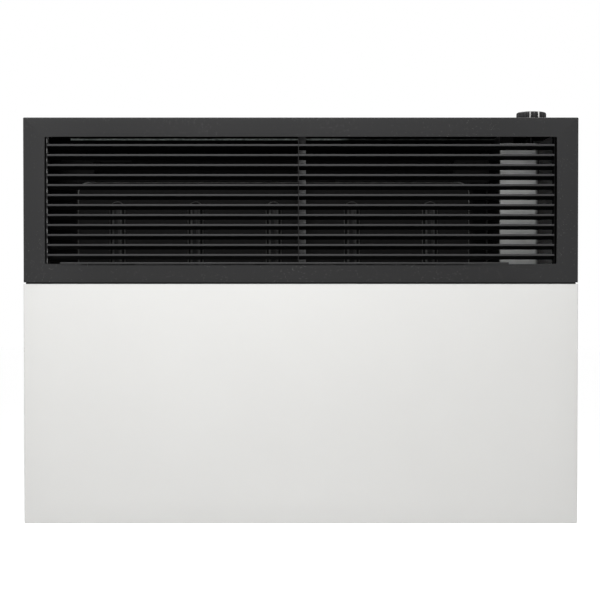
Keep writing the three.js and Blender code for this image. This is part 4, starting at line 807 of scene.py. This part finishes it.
def hood():
    """Window face, front bend, sides and roof as one surface, then the sheet's thickness behind it."""
    half, high = RIGHT - BEND, TOP - BEND
    steps = 8
    across = stations((-half + 0.3, -OPENING_HALF, 2), (-OPENING_HALF, ROD_X - PATCH, 24),
                      (ROD_X - PATCH, ROD_X + PATCH, steps), (ROD_X + PATCH, half - 0.3, 3))
    rear = stations((FRONT + 12, ROD_Y - PATCH, 4), (ROD_Y - PATCH, ROD_Y + PATCH, steps),
                    (ROD_Y + PATCH, BUTTON_Y - PATCH, 1), (BUTTON_Y - PATCH, BUTTON_Y + PATCH, steps),
                    (BUTTON_Y + PATCH, CASE_REAR, 3))
    grid = case_wrap(half, HOOD_LOW, high, across, rear)

    def in_patch(middle):
        near_x = abs(middle[:, 0] - ROD_X) < PATCH
        near_y = (abs(middle[:, 1] - ROD_Y) < PATCH) | (abs(middle[:, 1] - BUTTON_Y) < PATCH)
        return near_x & near_y & (middle[:, 2] > high)

    wrap = kept_squares(grid, in_patch)
    edge = grid[:, 0]
    bottom = stations((half, OPENING_HALF, 2), (OPENING_HALF, -OPENING_HALF, 26), (-OPENING_HALF, -half, 2))[1:-1]
    outer = np.concatenate([edge, upright(np.stack([bottom, np.full(len(bottom), HOOD_LOW)], -1), FRONT)])
    inner = window_loop(outer)
    face = np.concatenate([outer, inner]), lattice(2, len(outer), round_columns=True).tolist()
    patches = [roof_patch((ROD_X, ROD_Y), ROD_HOLE, steps), roof_patch((ROD_X, BUTTON_Y), BUTTON_HOLE, steps)]
    shells = [turned_to(wrap, [0.0, 0.0, 1.0], "top"), turned_to(face, [0.0, -1.0, 0.0]),
              *[turned_to(patch, [0.0, 0.0, 1.0]) for patch in patches]]
    in_place_of("hood", shells, sheet=SHEET)


def window_loop(outer):
    """For each point of the face's outer loop a point on the window's edge, in the same direction from its middle."""
    low, high, radius = WINDOW_LOW, OPENING_TOP, 2.0
    middle = np.array([0.0, (low + high) / 2])
    half = np.array([OPENING_HALF, (high - low) / 2])
    flat = outer[:, [0, 2]] - middle
    up, down = TOP - BEND - middle[1], middle[1] - HOOD_LOW
    scaled = np.stack([flat[:, 0] / (RIGHT - BEND), np.where(flat[:, 1] > 0, flat[:, 1] / up, flat[:, 1] / down)], -1)
    square = scaled / np.abs(scaled).max(1)[:, None]
    edge = square * half
    kept = np.clip(edge, -half + radius, half - radius)
    out = edge - kept
    length = np.linalg.norm(out, axis=1)
    corner = length > radius
    edge[corner] = kept[corner] + out[corner] / length[corner, None] * radius
    return upright(edge + middle, FRONT)


def turned_to(shell, direction, where=None):
    """The same open shell with its faces turned so that they look along a direction, judged on the largest face."""
    points, faces = shell
    corners = points[np.array([face[:4] for face in faces])]
    normals = np.cross(corners[:, 2] - corners[:, 0], corners[:, 3] - corners[:, 1])
    if where == "top":
        normals = normals[corners[:, :, 2].min(1) > TOP - 0.01]
    if (normals @ np.array(direction)).sum() < 0.0:
        faces = [face[::-1] for face in faces]
    return points, faces


def hood_sill():
    """Rolled lower edge of the window: the sheet turns inwards over a small radius."""
    path = folded([(FRONT + SHEET / 2, WINDOW_LOW - 2.4), (FRONT + SHEET / 2, OPENING_LOW - SHEET / 2),
                   (FRONT + 8.0, OPENING_LOW - SHEET / 2)], 1.5)
    loop = ribbon(path, SHEET)
    ends = [SILL_SPAN[0], SILL_SPAN[0] + 0.3, SILL_SPAN[1] - 0.3, SILL_SPAN[1]]
    piece("hood_sill", loft([sideways(loop, x) for x in ends]), "hood_paint")


def front_panel():
    """Plain white panel: flat face, round front bends, sides, and a folded rim round its open underside."""
    half, low = RIGHT - BEND, BEND
    rim_side = RIGHT - SHEET - 14.0
    rim_front = FRONT + 18.0
    across = stations((-half + 0.3, -rim_side, 3), (-rim_side, rim_side, 24), (rim_side, half - 0.3, 3))
    rear = stations((FRONT + 9, rim_front, 2), (rim_front, CASE_REAR, 8))
    grid = case_wrap(half, -PANEL_TOP, -low, across, rear) * [1.0, 1.0, -1.0]

    def open_underside(middle):
        return (middle[:, 2] < 0.5) & (abs(middle[:, 0]) < rim_side) & (middle[:, 1] > rim_front)

    wrap = kept_squares(grid, open_underside)
    edge = grid[:, 0]
    top = stations((half, -half, 30))[1:-1]
    loop = np.concatenate([edge, upright(np.stack([top, np.full(len(top), PANEL_TOP)], -1), FRONT)])
    centre = np.array([0.0, 0.0, PANEL_TOP / 2])
    inner = centre + (loop - centre) * [0.9, 1.0, 0.8]
    ring = np.concatenate([loop, inner]), lattice(2, len(loop), round_columns=True).tolist()
    core = inner, [list(range(len(inner)))]
    shells = [turned_to(wrap, [0.0, 0.0, -1.0]), turned_to(ring, [0.0, -1.0, 0.0]), turned_to(core, [0.0, -1.0, 0.0])]
    in_place_of("front_panel", shells, sheet=SHEET)


# ---------------------------------------------------------------- louvre grille

def blade(node):
    """Folded blade: a short front lip, a round fold and a leaf that falls to the back, with rounded ends."""
    (left, near, low), (right, far, high) = span(node)
    half = SHEET / 2
    slope = math.atan2(9.3, 14.0)
    path = folded([(near + half, high - 4.3), (near + half, high - half * 1.2),
                   (far - half * math.sin(slope), low + half * math.cos(slope))], 1.1, 6)
    loop = ribbon(path, SHEET)
    radius, turn = 2.0, quarter(6)
    cuts = radius * (1 - np.sin(turn))
    steps = radius * (1 - np.cos(turn))
    ends = np.concatenate([left + steps, (right - steps)[::-1]])
    loops = []
    for x, cut in zip(ends, [*cuts, *cuts[::-1]]):
        held = loop.copy()
        held[:, 1] = np.clip(held[:, 1], low + cut, high - cut)
        loops.append(sideways(held, x))
    in_place_of(node, loft(loops))


# ---------------------------------------------------------------- combustion chamber

def pressed_shell(node, face):
    """Pressed dish: thin flange, drafted wall, rounded edge and flat face, from loops drawn in step by step."""
    (x0, _, z0), (x1, rear, z1) = span(node)
    flange, flange_corner = 1.5, 28.0
    wall, foot, edge, body_corner = 10.0, 2.5, 3.5, 30.0
    turn = quarter(8)
    rows = [(0.0, rear, flange_corner), (0.0, rear - 1.3, flange_corner), (0.25, rear - flange, flange_corner)]
    rows += [(wall - foot * (1 - math.sin(t)), rear - (flange + foot * (1 - math.cos(t))), body_corner) for t in turn]
    rows += [(wall + edge * (1 - math.cos(t)), face + edge * (1 - math.sin(t)), body_corner) for t in turn]
    return loft([upright(rounded_loop(x0, x1, z0, z1, radius, inset, 12), y) for inset, y, radius in rows])


def bead(centre, low, high, face, crest):
    """Pressed bead: a long ridge with round ends whose side is half a cosine wave from the face to the crest."""
    outer, inner = 14.8, 5.4
    loops = []
    for t in np.linspace(0.0, 1.0, 9):
        radius = outer + (inner - outer) * t
        y = face + 0.4 + (crest - face - 0.4) * (1 - math.cos(math.pi * t)) / 2
        loops.append(upright(rounded_loop(centre - radius, centre + radius, low + outer - radius,
                                          high - outer + radius, radius, 0.0, 9), y))
    return loft(loops)


def chamber():
    """The front half of the combustion chamber, pressed, with its raised beads."""
    (x0, crest, _), (x1, _, z1) = span("chamber_front")
    face = crest + BEAD_RISE
    centre = (x0 + x1) / 2
    front = pressed_shell("chamber_front", face)
    beads = [bead(centre + (i - BEADS // 2) * BEAD_PITCH, BEAD_FOOT, z1 - BEAD_BELOW_TOP, face, crest)
             for i in range(BEADS)]
    in_place_of("chamber_front", [front, *beads])


# ---------------------------------------------------------------- shield and deflector

def control_shield():
    """Galvanised shield: its face, the web back to the chassis and the return, folded round from one sheet."""
    (left, near, low), (right, far, high) = span("control_shield")
    half = SHEET / 2
    path = folded([(left + half, far), (left + half, near + half), (right - 7.5, near + half),
                   (right - 2.2, near + 3.2), (right - half, near + 10.0)], 2.4, 8)
    loop = ribbon(path, SHEET)
    heights = [low, low + 0.3, high - 0.3, high]
    in_place_of("control_shield", loft([level(loop, z) for z in heights]))


def top_deflector():
    """Deflector sheet with a hemmed front edge and a foot on the back plate."""
    (left, near, low), (right, far, high) = span("top_deflector")
    high += 1.0    # its bright edge is seen this much higher
    half = SHEET / 2
    path = folded([(near + half, high - 3.0), (near + half, high - half), (far - half, high - 12.0 - half),
                   (far - half, low)], 1.4)
    loop = ribbon(path, SHEET)
    sheet = loft([sideways(loop, x) for x in (left, left + 0.3, right - 0.3, right)])
    in_place_of("top_deflector", sheet, material=DEFLECTOR_BLACK)


def strap_lip():
    """Folded lip along the left strap's upper edge, which runs on towards the middle and catches the light."""
    (left, near, _), (_, _, high) = span("chamber_strap_left")
    loop = rounded_loop(near - 1.6, near - 0.1, high - 4.2, high - 0.2, 0.5, 0.0, 4)
    lip = loft([sideways(loop, x) for x in (left + 4.0, -297.0)])
    piece("strap_lip", lip, "galvanised", material=FINISHES["post_paint"])


# ---------------------------------------------------------------- knob and button

FLUTES = 24


def knob():
    """Fluted cap: radius falls by a scallop (half a cosine, sharpened) and each ring is one step of the profile."""
    _, low, high = column("knob")
    turn = all_round(FLUTES * 12)
    scallop = 1.15 * (0.5 + 0.5 * np.cos(FLUTES * turn)) ** 1.6
    skirt = [(24.2, low, 0.6), (25.6, low + 0.5, 0.9), (26.0, low + 1.2, 1.0), (25.8, high - 3.6, 1.0),
             (25.55, high - 2.4, 1.0), (24.9, high - 1.4, 0.9), (23.9, high - 0.75, 0.6), (22.6, high - 0.4, 0.25),
             (21.2, high - 0.25, 0.0), (20.6, high - 0.3, 0.0), (20.1, high - 0.75, 0.0), (19.4, high - 0.95, 0.0),
             (10.0, high - 0.7, 0.0), (0.02, high - 0.55, 0.0)]
    rings = []
    for reach, z, depth in skirt:
        around = reach - scallop * depth
        rings.append(np.stack([ROD_X + around * np.cos(turn), ROD_Y + around * np.sin(turn),
                               np.full(len(turn), z)], -1))
    underside = [(22.0, low), (21.4, low + 0.8), (21.4, high - 3.0), (8.2, high - 3.0), (8.0, low + 0.3),
                 (7.4, low), (4.4, low), (4.3, high - 2.4)]
    under = [level(circle(ROD_X, ROD_Y, reach, len(turn)), z) for reach, z in underside]
    in_place_of("knob", loft(under[::-1] + rings), sharp=50.0)


def knob_line(name, degrees, side, skipped=0):
    """White line let into the knob this many degrees round from the front, without its first points on the top."""
    _, low, high = column("knob")
    angle = math.radians(degrees)
    path = [(-9.0, high - 0.62), (-20.0, high - 0.72), (-21.2, high - 0.15), (-22.8, high - 0.28),
            (-24.2, high - 0.75), (-25.2, high - 1.5), (-25.72, high - 2.5), (-26.0, high - 3.6), (-26.0, low + 1.4)]
    path = np.array(path[skipped:])
    run = np.gradient(path, axis=0)
    run /= np.linalg.norm(run, axis=1)[:, None]
    inwards = np.stack([-run[:, 1], run[:, 0]], -1)
    loops = []
    for (r1, z1), (r2, z2) in zip(path, path + inwards * 0.9):
        corners = np.array([(-side, r1, z1), (side, r1, z1), (side, r2, z2), (-side, r2, z2)])
        x = corners[:, 0] * math.cos(angle) - corners[:, 1] * math.sin(angle)
        y = corners[:, 0] * math.sin(angle) + corners[:, 1] * math.cos(angle)
        loops.append(np.stack([ROD_X + x, ROD_Y + y, corners[:, 2]], -1))
    piece(name, loft(loops), "knob_plastic", body="knob", material=PALE_PRINT)


def igniter_button():
    """Round push button: a domed cap with a rounded rim on its stem."""
    middle, low, high = column("piezo_button")
    stem_top = IGNITER_TOP + 5.4
    profile = [(0.02, low), (4.2, low), (4.5, low + 0.4), (4.5, stem_top), (6.7, stem_top),
               (7.0, stem_top + 0.4), (7.0, high - 1.6), (6.75, high - 0.75), (6.1, high - 0.25),
               (5.0, high - 0.1), (4.4, high - 0.3), (2.5, high - 0.55), (0.02, high - 0.65)]
    in_place_of("piezo_button", turned(profile, middle, sides=64), sharp=50.0)


def igniter_barrel():
    """Igniter body: barrel with a threaded neck, a clamping ring and a ribbed tail."""
    middle, low, high = column("piezo_igniter")
    collar_top = high - 3.0
    thread = [(8.6 if i % 2 else 9.0, low + 26.0 + i * 0.75) for i in range(24)]
    profile = [(0.02, low), (4.0, low), (4.4, low + 0.5), (4.4, low + 5.0), (8.2, low + 5.6),
               (9.0, low + 6.6), (9.0, low + 25.0), *thread, (9.0, collar_top - 3.2), (11.6, collar_top - 3.0),
               (12.0, collar_top - 2.5), (12.0, collar_top - 0.6), (11.5, collar_top), (6.5, collar_top),
               (6.4, high - 0.3), (6.1, high), (5.0, high), (4.9, high - 19.0), (0.02, high - 19.0)]
    in_place_of("piezo_igniter", turned(profile, middle, sides=48), sharp=50.0)


def rod_and_spindle():
    """Round rod with a square lower end, and the slotted socket that it slides in."""
    middle, low, high = column("extension_rod")
    side = 2.6
    square = rounded_loop(ROD_X - side, ROD_X + side, ROD_Y - side, ROD_Y + side, 0.4, 0.0, 11)
    round_top = circle(*middle, 4.0, 48)
    shoulder = 230.7
    loops = [level(square, low), level(square, shoulder), level(round_top, shoulder + 1.5),
             level(round_top, high - 0.6), level(middle + (round_top - middle) * 0.86, high)]
    in_place_of("extension_rod", loft(loops), material=ROD_STEEL)
    _, low, high = column("valve_spindle")
    profile = [(0.02, low), (7.6, low), (8.0, low + 0.5), (8.0, high - 6.0), (7.4, high - 5.4),
               (7.4, high - 4.6), (8.0, high - 4.0), (8.0, high - 0.5), (7.5, high), (3.4, high),
               (3.2, low + 4.0), (0.02, low + 4.0)]
    in_place_of("valve_spindle", turned(profile, middle, sides=48))


def dial_marks():
    """Ticks and plain numbers round the knob, from its rest place to the end of its turn."""
    count = 8
    first, sweep = math.radians(KNOB_ZERO - 90.0), math.radians(KNOB_TURN)
    ink = 0.06
    ticks = []
    for i in range(count):
        angle = first + sweep * i / (count - 1)
        along, across = np.array([math.cos(angle), math.sin(angle)]), np.array([-math.sin(angle), math.cos(angle)])
        corners = [along * r + across * w for r, w in ((27.6, -0.35), (30.4, -0.35), (30.4, 0.35), (27.6, 0.35))]
        corners = np.array(corners) + [ROD_X, ROD_Y]
        ticks.append(loft([level(corners, TOP + 0.01), level(corners, TOP + ink)]))
        number(str(i), np.array([ROD_X, ROD_Y]) + along * 35.0)
    piece("dial_ticks", ticks, "hood_paint", material=PALE_PRINT)


def number(text, centre):
    """One printed number: the letter shape as a mesh, five millimetres tall and centred on a place."""
    curve = bpy.data.curves.new("letters", "FONT")
    curve.body = text
    curve.size = 7.0
    curve.align_x, curve.align_y = "CENTER", "CENTER"
    curve.resolution_u = 4
    shape = bpy.data.objects.new("letters", curve)
    flat = shape.to_mesh()
    points = np.zeros(len(flat.vertices) * 3)
    flat.vertices.foreach_get("co", points)
    faces = [list(face.vertices) for face in flat.polygons]
    shape.to_mesh_clear()
    bpy.data.objects.remove(shape)
    points = points.reshape(-1, 3) * [1.0, 1.0, 0.0] + [*centre, TOP + 0.05]
    piece("dial_number_" + text, (points, faces), "hood_paint", material=PALE_PRINT, closed=False)


# ---------------------------------------------------------------- small fastenings and pipes

def facing(shell, centre, direction):
    """A shell made to look along +z, turned to look along another axis and moved to its place."""
    points, faces = shell
    ahead = np.array(direction, float)
    helper = np.array([0.0, 0.0, 1.0]) if abs(ahead[2]) < 0.5 else np.array([1.0, 0.0, 0.0])
    right = np.cross(helper, ahead)
    up = np.cross(ahead, right)
    return points @ np.array([right, up, ahead]) + centre, faces


def screw_head(radius, height):
    """Pan head: a dome over a short rim, with a cross-shaped recess pressed down by a smooth mask."""
    shares = [1.0, 1.0, 0.97, 0.9, 0.75, 0.6, 0.5, 0.42, 0.34, 0.24, 0.14, 0.02]
    lifts = [-0.3, 0.45, 0.62, 0.75, 0.88, 0.95, 0.97, 0.98, 0.99, 1.0, 1.0, 1.0]
    loops = []
    for share, lift in zip(shares, lifts):
        flat = share * circle(0.0, 0.0, 1.0, 40)
        arm = np.minimum(abs(flat[:, 0]), abs(flat[:, 1]))
        pressed = np.clip((0.17 - arm) / 0.06, 0.0, 1.0) * np.clip((0.56 - share) / 0.06, 0.0, 1.0)
        loops.append(np.column_stack([flat * radius, height * (lift - 0.6 * pressed)]))
    return loft(loops)


def screws(name, places, direction, slot, radius, height):
    """A row of the same screw heads."""
    head = screw_head(radius, height)
    piece(name, [facing(head, place, direction) for place in places], slot, sharp=60.0)


def hexagon_nut(across, length, bore):
    """Hexagon nut: flats cut back at both ends by a cone, round a bore."""
    sides, half = 72, across / 2
    flats = half / np.cos((all_round(sides) + np.pi / 6) % (np.pi / 3) - np.pi / 6)
    unit = circle(0.0, 0.0, 1.0, sides)
    loops = [level(unit * bore, 0.0)]
    for cap, z in ((half, 0.0), (half * 1.06, 0.35), (across, 1.3), (across, length - 1.3),
                   (half * 1.06, length - 0.35), (half, length)):
        loops.append(level(unit * np.minimum(flats, cap)[:, None], z))
    loops.append(level(unit * bore, length))
    return loft(loops, ring=True)


PORT_FACE = 346.7
MAIN_PORT, PILOT_PORT, COUPLE_PORT = (-125.0, 158.3), (-140.5, 182.3), (-109.5, 182.3)    # y and z on the valve
ELBOW = 7.0
ROUTES = {
    "main_gas_tube": (5.0, 14.0, [(PORT_FACE, *MAIN_PORT), (315, *MAIN_PORT), (315, -201.9, 158.3),
                                  (189, -201.9, 158.3), (189, -201.9, 232), (189, -173.9, 232)]),
    "pilot_tube": (2.0, ELBOW, [(PORT_FACE, *PILOT_PORT), (325, *PILOT_PORT), (325, -214.9, 182.3),
                                (325, -214.9, 153), (30, -214.9, 153), (30, -214.9, 248), (30, -173.9, 248)]),
    "thermocouple": (1.5, ELBOW, [(46, -151.9, 248), (46, -187.9, 248), (46, -187.9, 171), (305, -187.9, 171),
                                  (305, -109.5, 171), (305, *COUPLE_PORT), (PORT_FACE, *COUPLE_PORT)]),
    "ignition_lead": (2.0, ELBOW, [(402, -79, 602.7), (402, -79, 572.7), (331, -79, 572.7), (331, -79, 297),
                                   (331, -200.2, 297), (14, -200.2, 297), (14, -200.2, 248), (14, -190.2, 248)]),
    "thermostat_bulb": (1.5, ELBOW, [(438.5, -35.2, 78), (449, -35.2, 78), (449, -125, 78), (449, -125, 158.3),
                                     (445.3, -125, 158.3)]),
}


def pipes():
    """Every pipe and lead along its route, with the probe of the thermocouple and the bulb of the thermostat."""
    for node, (radius, bend, corners) in ROUTES.items():
        shells = [tube(corners, radius, bend)]
        if node == "thermocouple":
            tip = span(node)[1][2]
            probe = [(0.02, 242.0), (2.7, 242.0), (3.0, 242.4), (3.0, 265.5), (2.2, 268.2), (1.0, tip), (0.02, tip)]
            shells.append(turned(probe, (46.0, -151.9), sides=32))
        if node == "thermostat_bulb":
            bulb = [(0.02, 347.0), (2.0, 347.0), (3.8, 348.0), (4.5, 350.0), (4.5, 438.5), (3.4, 441.5), (1.6, 443.0),
                    (0.02, 443.0)]
            shells.append(turned(bulb, (-35.2, 78.0), "x", 40))
        in_place_of(node, shells, sharp=50.0)


def pipe_fittings():
    """Union nuts where the pipes meet the valve and the burner door, and soft rings where they pass the shield."""
    door, port = -176.2, 346.4
    forward, left = (0, -1, 0), (-1, 0, 0)
    nuts = [(17.0, 9.0, 5.05, (189.0, door, 232.0), forward), (10.0, 7.0, 2.05, (30.0, door, 248.0), forward),
            (9.0, 7.0, 1.55, (46.0, door, 248.0), forward), (17.0, 9.0, 5.05, (port, *MAIN_PORT), left),
            (10.0, 8.0, 2.05, (port, *PILOT_PORT), left), (9.0, 8.0, 1.55, (port, *COUPLE_PORT), left)]
    piece("pipe_nuts", [facing(hexagon_nut(across, length, bore), place, direction)
                        for across, length, bore, place, direction in nuts], "brass")
    rings = []
    for place, radius in ((MAIN_PORT, 5), (COUPLE_PORT, 1.5), (PILOT_PORT, 2), ((-79, 572.7), 2)):
        profile = [(radius + 0.1, 339.6), (radius + 2.6, 339.6), (radius + 3.2, 340.1), (radius + 3.2, 343.0),
                   (radius + 2.6, 343.6), (radius + 0.1, 343.6)]
        rings.append(turned(profile, place, "x", 32, ring=True))
    piece("pipe_grommets", rings, "lead_cover", sharp=60.0)


def gas_inlet():
    """Inlet union: threaded stub with a bore, and a hexagon nut with coned ends under the shelf."""
    _, low, high = column("gas_inlet")
    middle = (ROD_X, ROD_Y)
    thread = [(12.35 if i % 2 else 13.0, low + 1.2 + i * 0.9) for i in range(27)]
    profile = [(6.5, low), (11.9, low), *thread, (13.0, low + 26.0), (13.0, high), (6.5, high),
               (6.5, low + 0.8), (6.9, low)]
    stub = turned(profile, middle, sides=72, ring=True)
    nut = facing(hexagon_nut(29.4, 14.0, 12.8), (*middle, 124.2), (0, 0, 1))
    in_place_of("gas_inlet", [stub, nut])


def flue_collar(node, bore, flange):
    """Spigot with a flange, a stiffening bead round it and a rolled outer edge."""
    low, high = span(node)
    middle = ((low + high) / 2)[[0, 2]]
    near, far = low[1], high[1]
    outer = bore + 1.5
    profile = [(bore, near), (flange - 0.3, near), (flange, near + 0.4), (flange, near + 1.2),
               (flange - 0.3, near + 1.5), (outer + 1.6, near + 1.5), (outer + 0.5, near + 2.0), (outer, near + 3.2),
               (outer, far - 16.0),
               (outer - 0.35, far - 14.8), (outer - 0.8, far - 14.0), (outer - 0.8, far - 11.0),
               (outer - 0.35, far - 10.2), (outer, far - 9.0), (outer, far - 0.7), (outer - 0.25, far - 0.2),
               (outer - 0.7, far), (bore + 0.3, far), (bore, far - 0.4)]
    in_place_of(node, turned(profile, middle, "y", 96, ring=True), sharp=50.0)


def plate_ribs():
    """Upright stiffening ribs pressed backwards in the back plate, between its two rails."""
    rear = span("back_plate")[1][1]
    places = [(x, 165.0, 535.0) for x in (-390.0, -310.0, -230.0, -150.0, 90.0, 170.0, 250.0, 330.0, 410.0)]
    places += [(x, *ends) for x in (-430.0, 430.0) for ends in ((30.0, 150.0), (550.0, 650.0))]
    ribs = [bead(x, low, high, rear, rear + 2.6) for x, low, high in places]
    piece("plate_ribs", ribs, SLOT_OF["back_plate"], sharp=50.0)


def fasten():
    """Screws of the chamber's halves, its door, the sight glass, the rails, the back plate and the rod's guide."""
    (x0, _, z0), (x1, _, z1) = span("chamber_front")
    edge = [(x, FLANGE_FACE, z) for x in np.linspace(x0 + 34, x1 - 34, 7) for z in (z0 + 5, z1 - 5)]
    edge += [(x, FLANGE_FACE, z) for x in (x0 + 5, x1 - 5) for z in np.linspace(z0 + 90, z1 - 90, 3)]
    screws("chamber_screws", edge, (0, -1, 0), "chamber_black", 3.6, 2.6)
    (x0, near, z0), (x1, _, z1) = span("burner_door")
    ring = [(x, near, z) for x in np.linspace(x0 + 8, x1 - 8, 6) for z in (z0 + 6.5, z1 - 6.5)]
    ring += [(x, near, (z0 + z1) / 2) for x in (x0 + 6.5, x1 - 6.5)]
    screws("door_screws", ring, (0, -1, 0), "stainless", 4.0, 2.6)
    frame_low, frame_high = span("sight_frame")
    middle = (frame_low + frame_high) / 2
    angles = np.radians([30.0, 150.0, 270.0])
    tabs = [(middle[0] + 23.6 * math.cos(a), frame_high[1] - 1.5, middle[2] + 23.6 * math.sin(a)) for a in angles]
    screws("sight_screws", tabs, (0, -1, 0), "stainless", 1.9, 1.4)
    rails = [(x, RAIL_FACE, z + side * 22.5)
             for x in (-330, -110, 110, 330) for z in (590.0, 105.0) for side in (-1, 1)]
    screws("rail_screws", rails, (0, 1, 0), "galvanised", 3.6, 2.2)
    rear = span("back_plate")[1][1]
    rows = {121.0: (384, 430), 40.0: (-408, -392, 392, 408), 622.5: (-380, -360), 627.0: (-300, -150, 150, 240)}
    hung = [(x, rear, z) for z, places in rows.items() for x in places]
    screws("plate_screws", hung, (0, 1, 0), "galvanised", 3.2, 2.0)
    left, near, _ = span("rod_guide")[0]
    screws("guide_screws", [(left + 16.0, near - 1.5, 633.0)], (0, -1, 0), "galvanised", 3.4, 2.2)


# ---------------------------------------------------------------- making

hood()
hood_sill()
front_panel()
for blade_node in BLADES:
    blade(blade_node)
chamber()
control_shield()
top_deflector()
strap_lip()
knob()
knob_line("knob_pointer", KNOB_ZERO, 1.0)
knob_line("knob_mark", -13.0, 0.6, skipped=4)
igniter_button()
igniter_barrel()
rod_and_spindle()
dial_marks()
pipes()
pipe_fittings()
gas_inlet()
flue_collar("exhaust_collar", 30.0, 40.5)
flue_collar("intake_collar", 53.5, 64.0)
plate_ribs()
fasten()

for node_name, node_object in frame["nodes"].items():
    node_object.data.materials.clear()
    node_object.data.materials.append(SHOWN_AS.get(node_name, FINISHES[SLOT_OF[node_name]]))
    soften(node_object)


# ---------------------------------------------------------------- stage and light

def studio_floor():
    """Pale floor well below the heater; the camera sees it a little brighter, so that it meets the white around it."""
    finish = Finish("studio_floor", (0.8, 0.8, 0.8), 0.9)
    tint = finish.noise(3.0, 3.0)
    finish.set("Base Color", finish.tones(tint, 0.99, 1.01))
    seen = finish.seen_straight()
    glow = finish.node("ShaderNodeEmission", inputs={"Color": (1.0, 1.0, 1.0, 1.0), "Strength": seen * 0.85})
    both = finish.node("ShaderNodeAddShader", inputs={0: finish.shader.outputs[0], 1: glow.outputs[0]})
    finish.tree.links.new(both.outputs[0], finish.output.inputs["Surface"])
    mesh = bpy.data.meshes.new("studio_floor")
    reach, height = 14.0, FOOT - 0.45
    mesh.from_pydata([(-reach, -reach, height), (reach, -reach, height), (reach, reach, height),
                      (-reach, reach, height)], [], [(0, 1, 2, 3)])
    mesh.materials.append(finish.material)
    added("studio_floor", mesh)


class WorldFinish(Finish):
    """The same node tools on the world's own tree."""

    def __init__(self, world):
        world.use_nodes = True
        self.tree = world.node_tree
        self.tree.nodes.clear()


def studio_world(level_of_light):
    """Even light from all around; straight, mirrored and refracted looks meet pure white."""
    world = bpy.data.worlds.new("studio")
    finish = WorldFinish(world)
    strength = level_of_light + (1.0 - level_of_light) * finish.seen_straight()
    inputs = {"Color": (1.0, 1.0, 1.0, 1.0), "Strength": strength}
    background = finish.node("ShaderNodeBackground", inputs=inputs)
    output = finish.node("ShaderNodeOutputWorld")
    finish.tree.links.new(background.outputs[0], output.inputs["Surface"])
    bpy.context.scene.world = world


def softbox(name, place, target, size, power):
    """Square soft light at a place, turned towards a target: its width in metres and its power in watts."""
    light = bpy.data.lights.new(name, "AREA")
    light.size = size
    light.energy = power
    lamp = added(name, light)
    lamp.location = place
    aim = np.array(target) - np.array(place)
    flat = math.hypot(aim[0], aim[1])
    lamp.rotation_euler = (math.atan2(flat, -aim[2]), 0.0, math.atan2(aim[1], aim[0]) - math.pi / 2)


studio_floor()
studio_world(0.085)
FRONT_TARGET, REAR_TARGET = (0.0, -0.2, -0.2), (0.0, 0.0, -0.2)
softbox("key_light", (-0.15, -1.2, 1.3), FRONT_TARGET, 0.8, 29.0)
softbox("high_light", (-0.4, -1.9, 2.2), FRONT_TARGET, 1.2, 36.5)
softbox("front_light", (-0.5, -3.3, -0.1), FRONT_TARGET, 1.4, 10.5)
softbox("rear_light", (0.9, 2.4, 1.2), REAR_TARGET, 1.8, 40.0)
bpy.context.scene.view_settings.view_transform = "Standard"
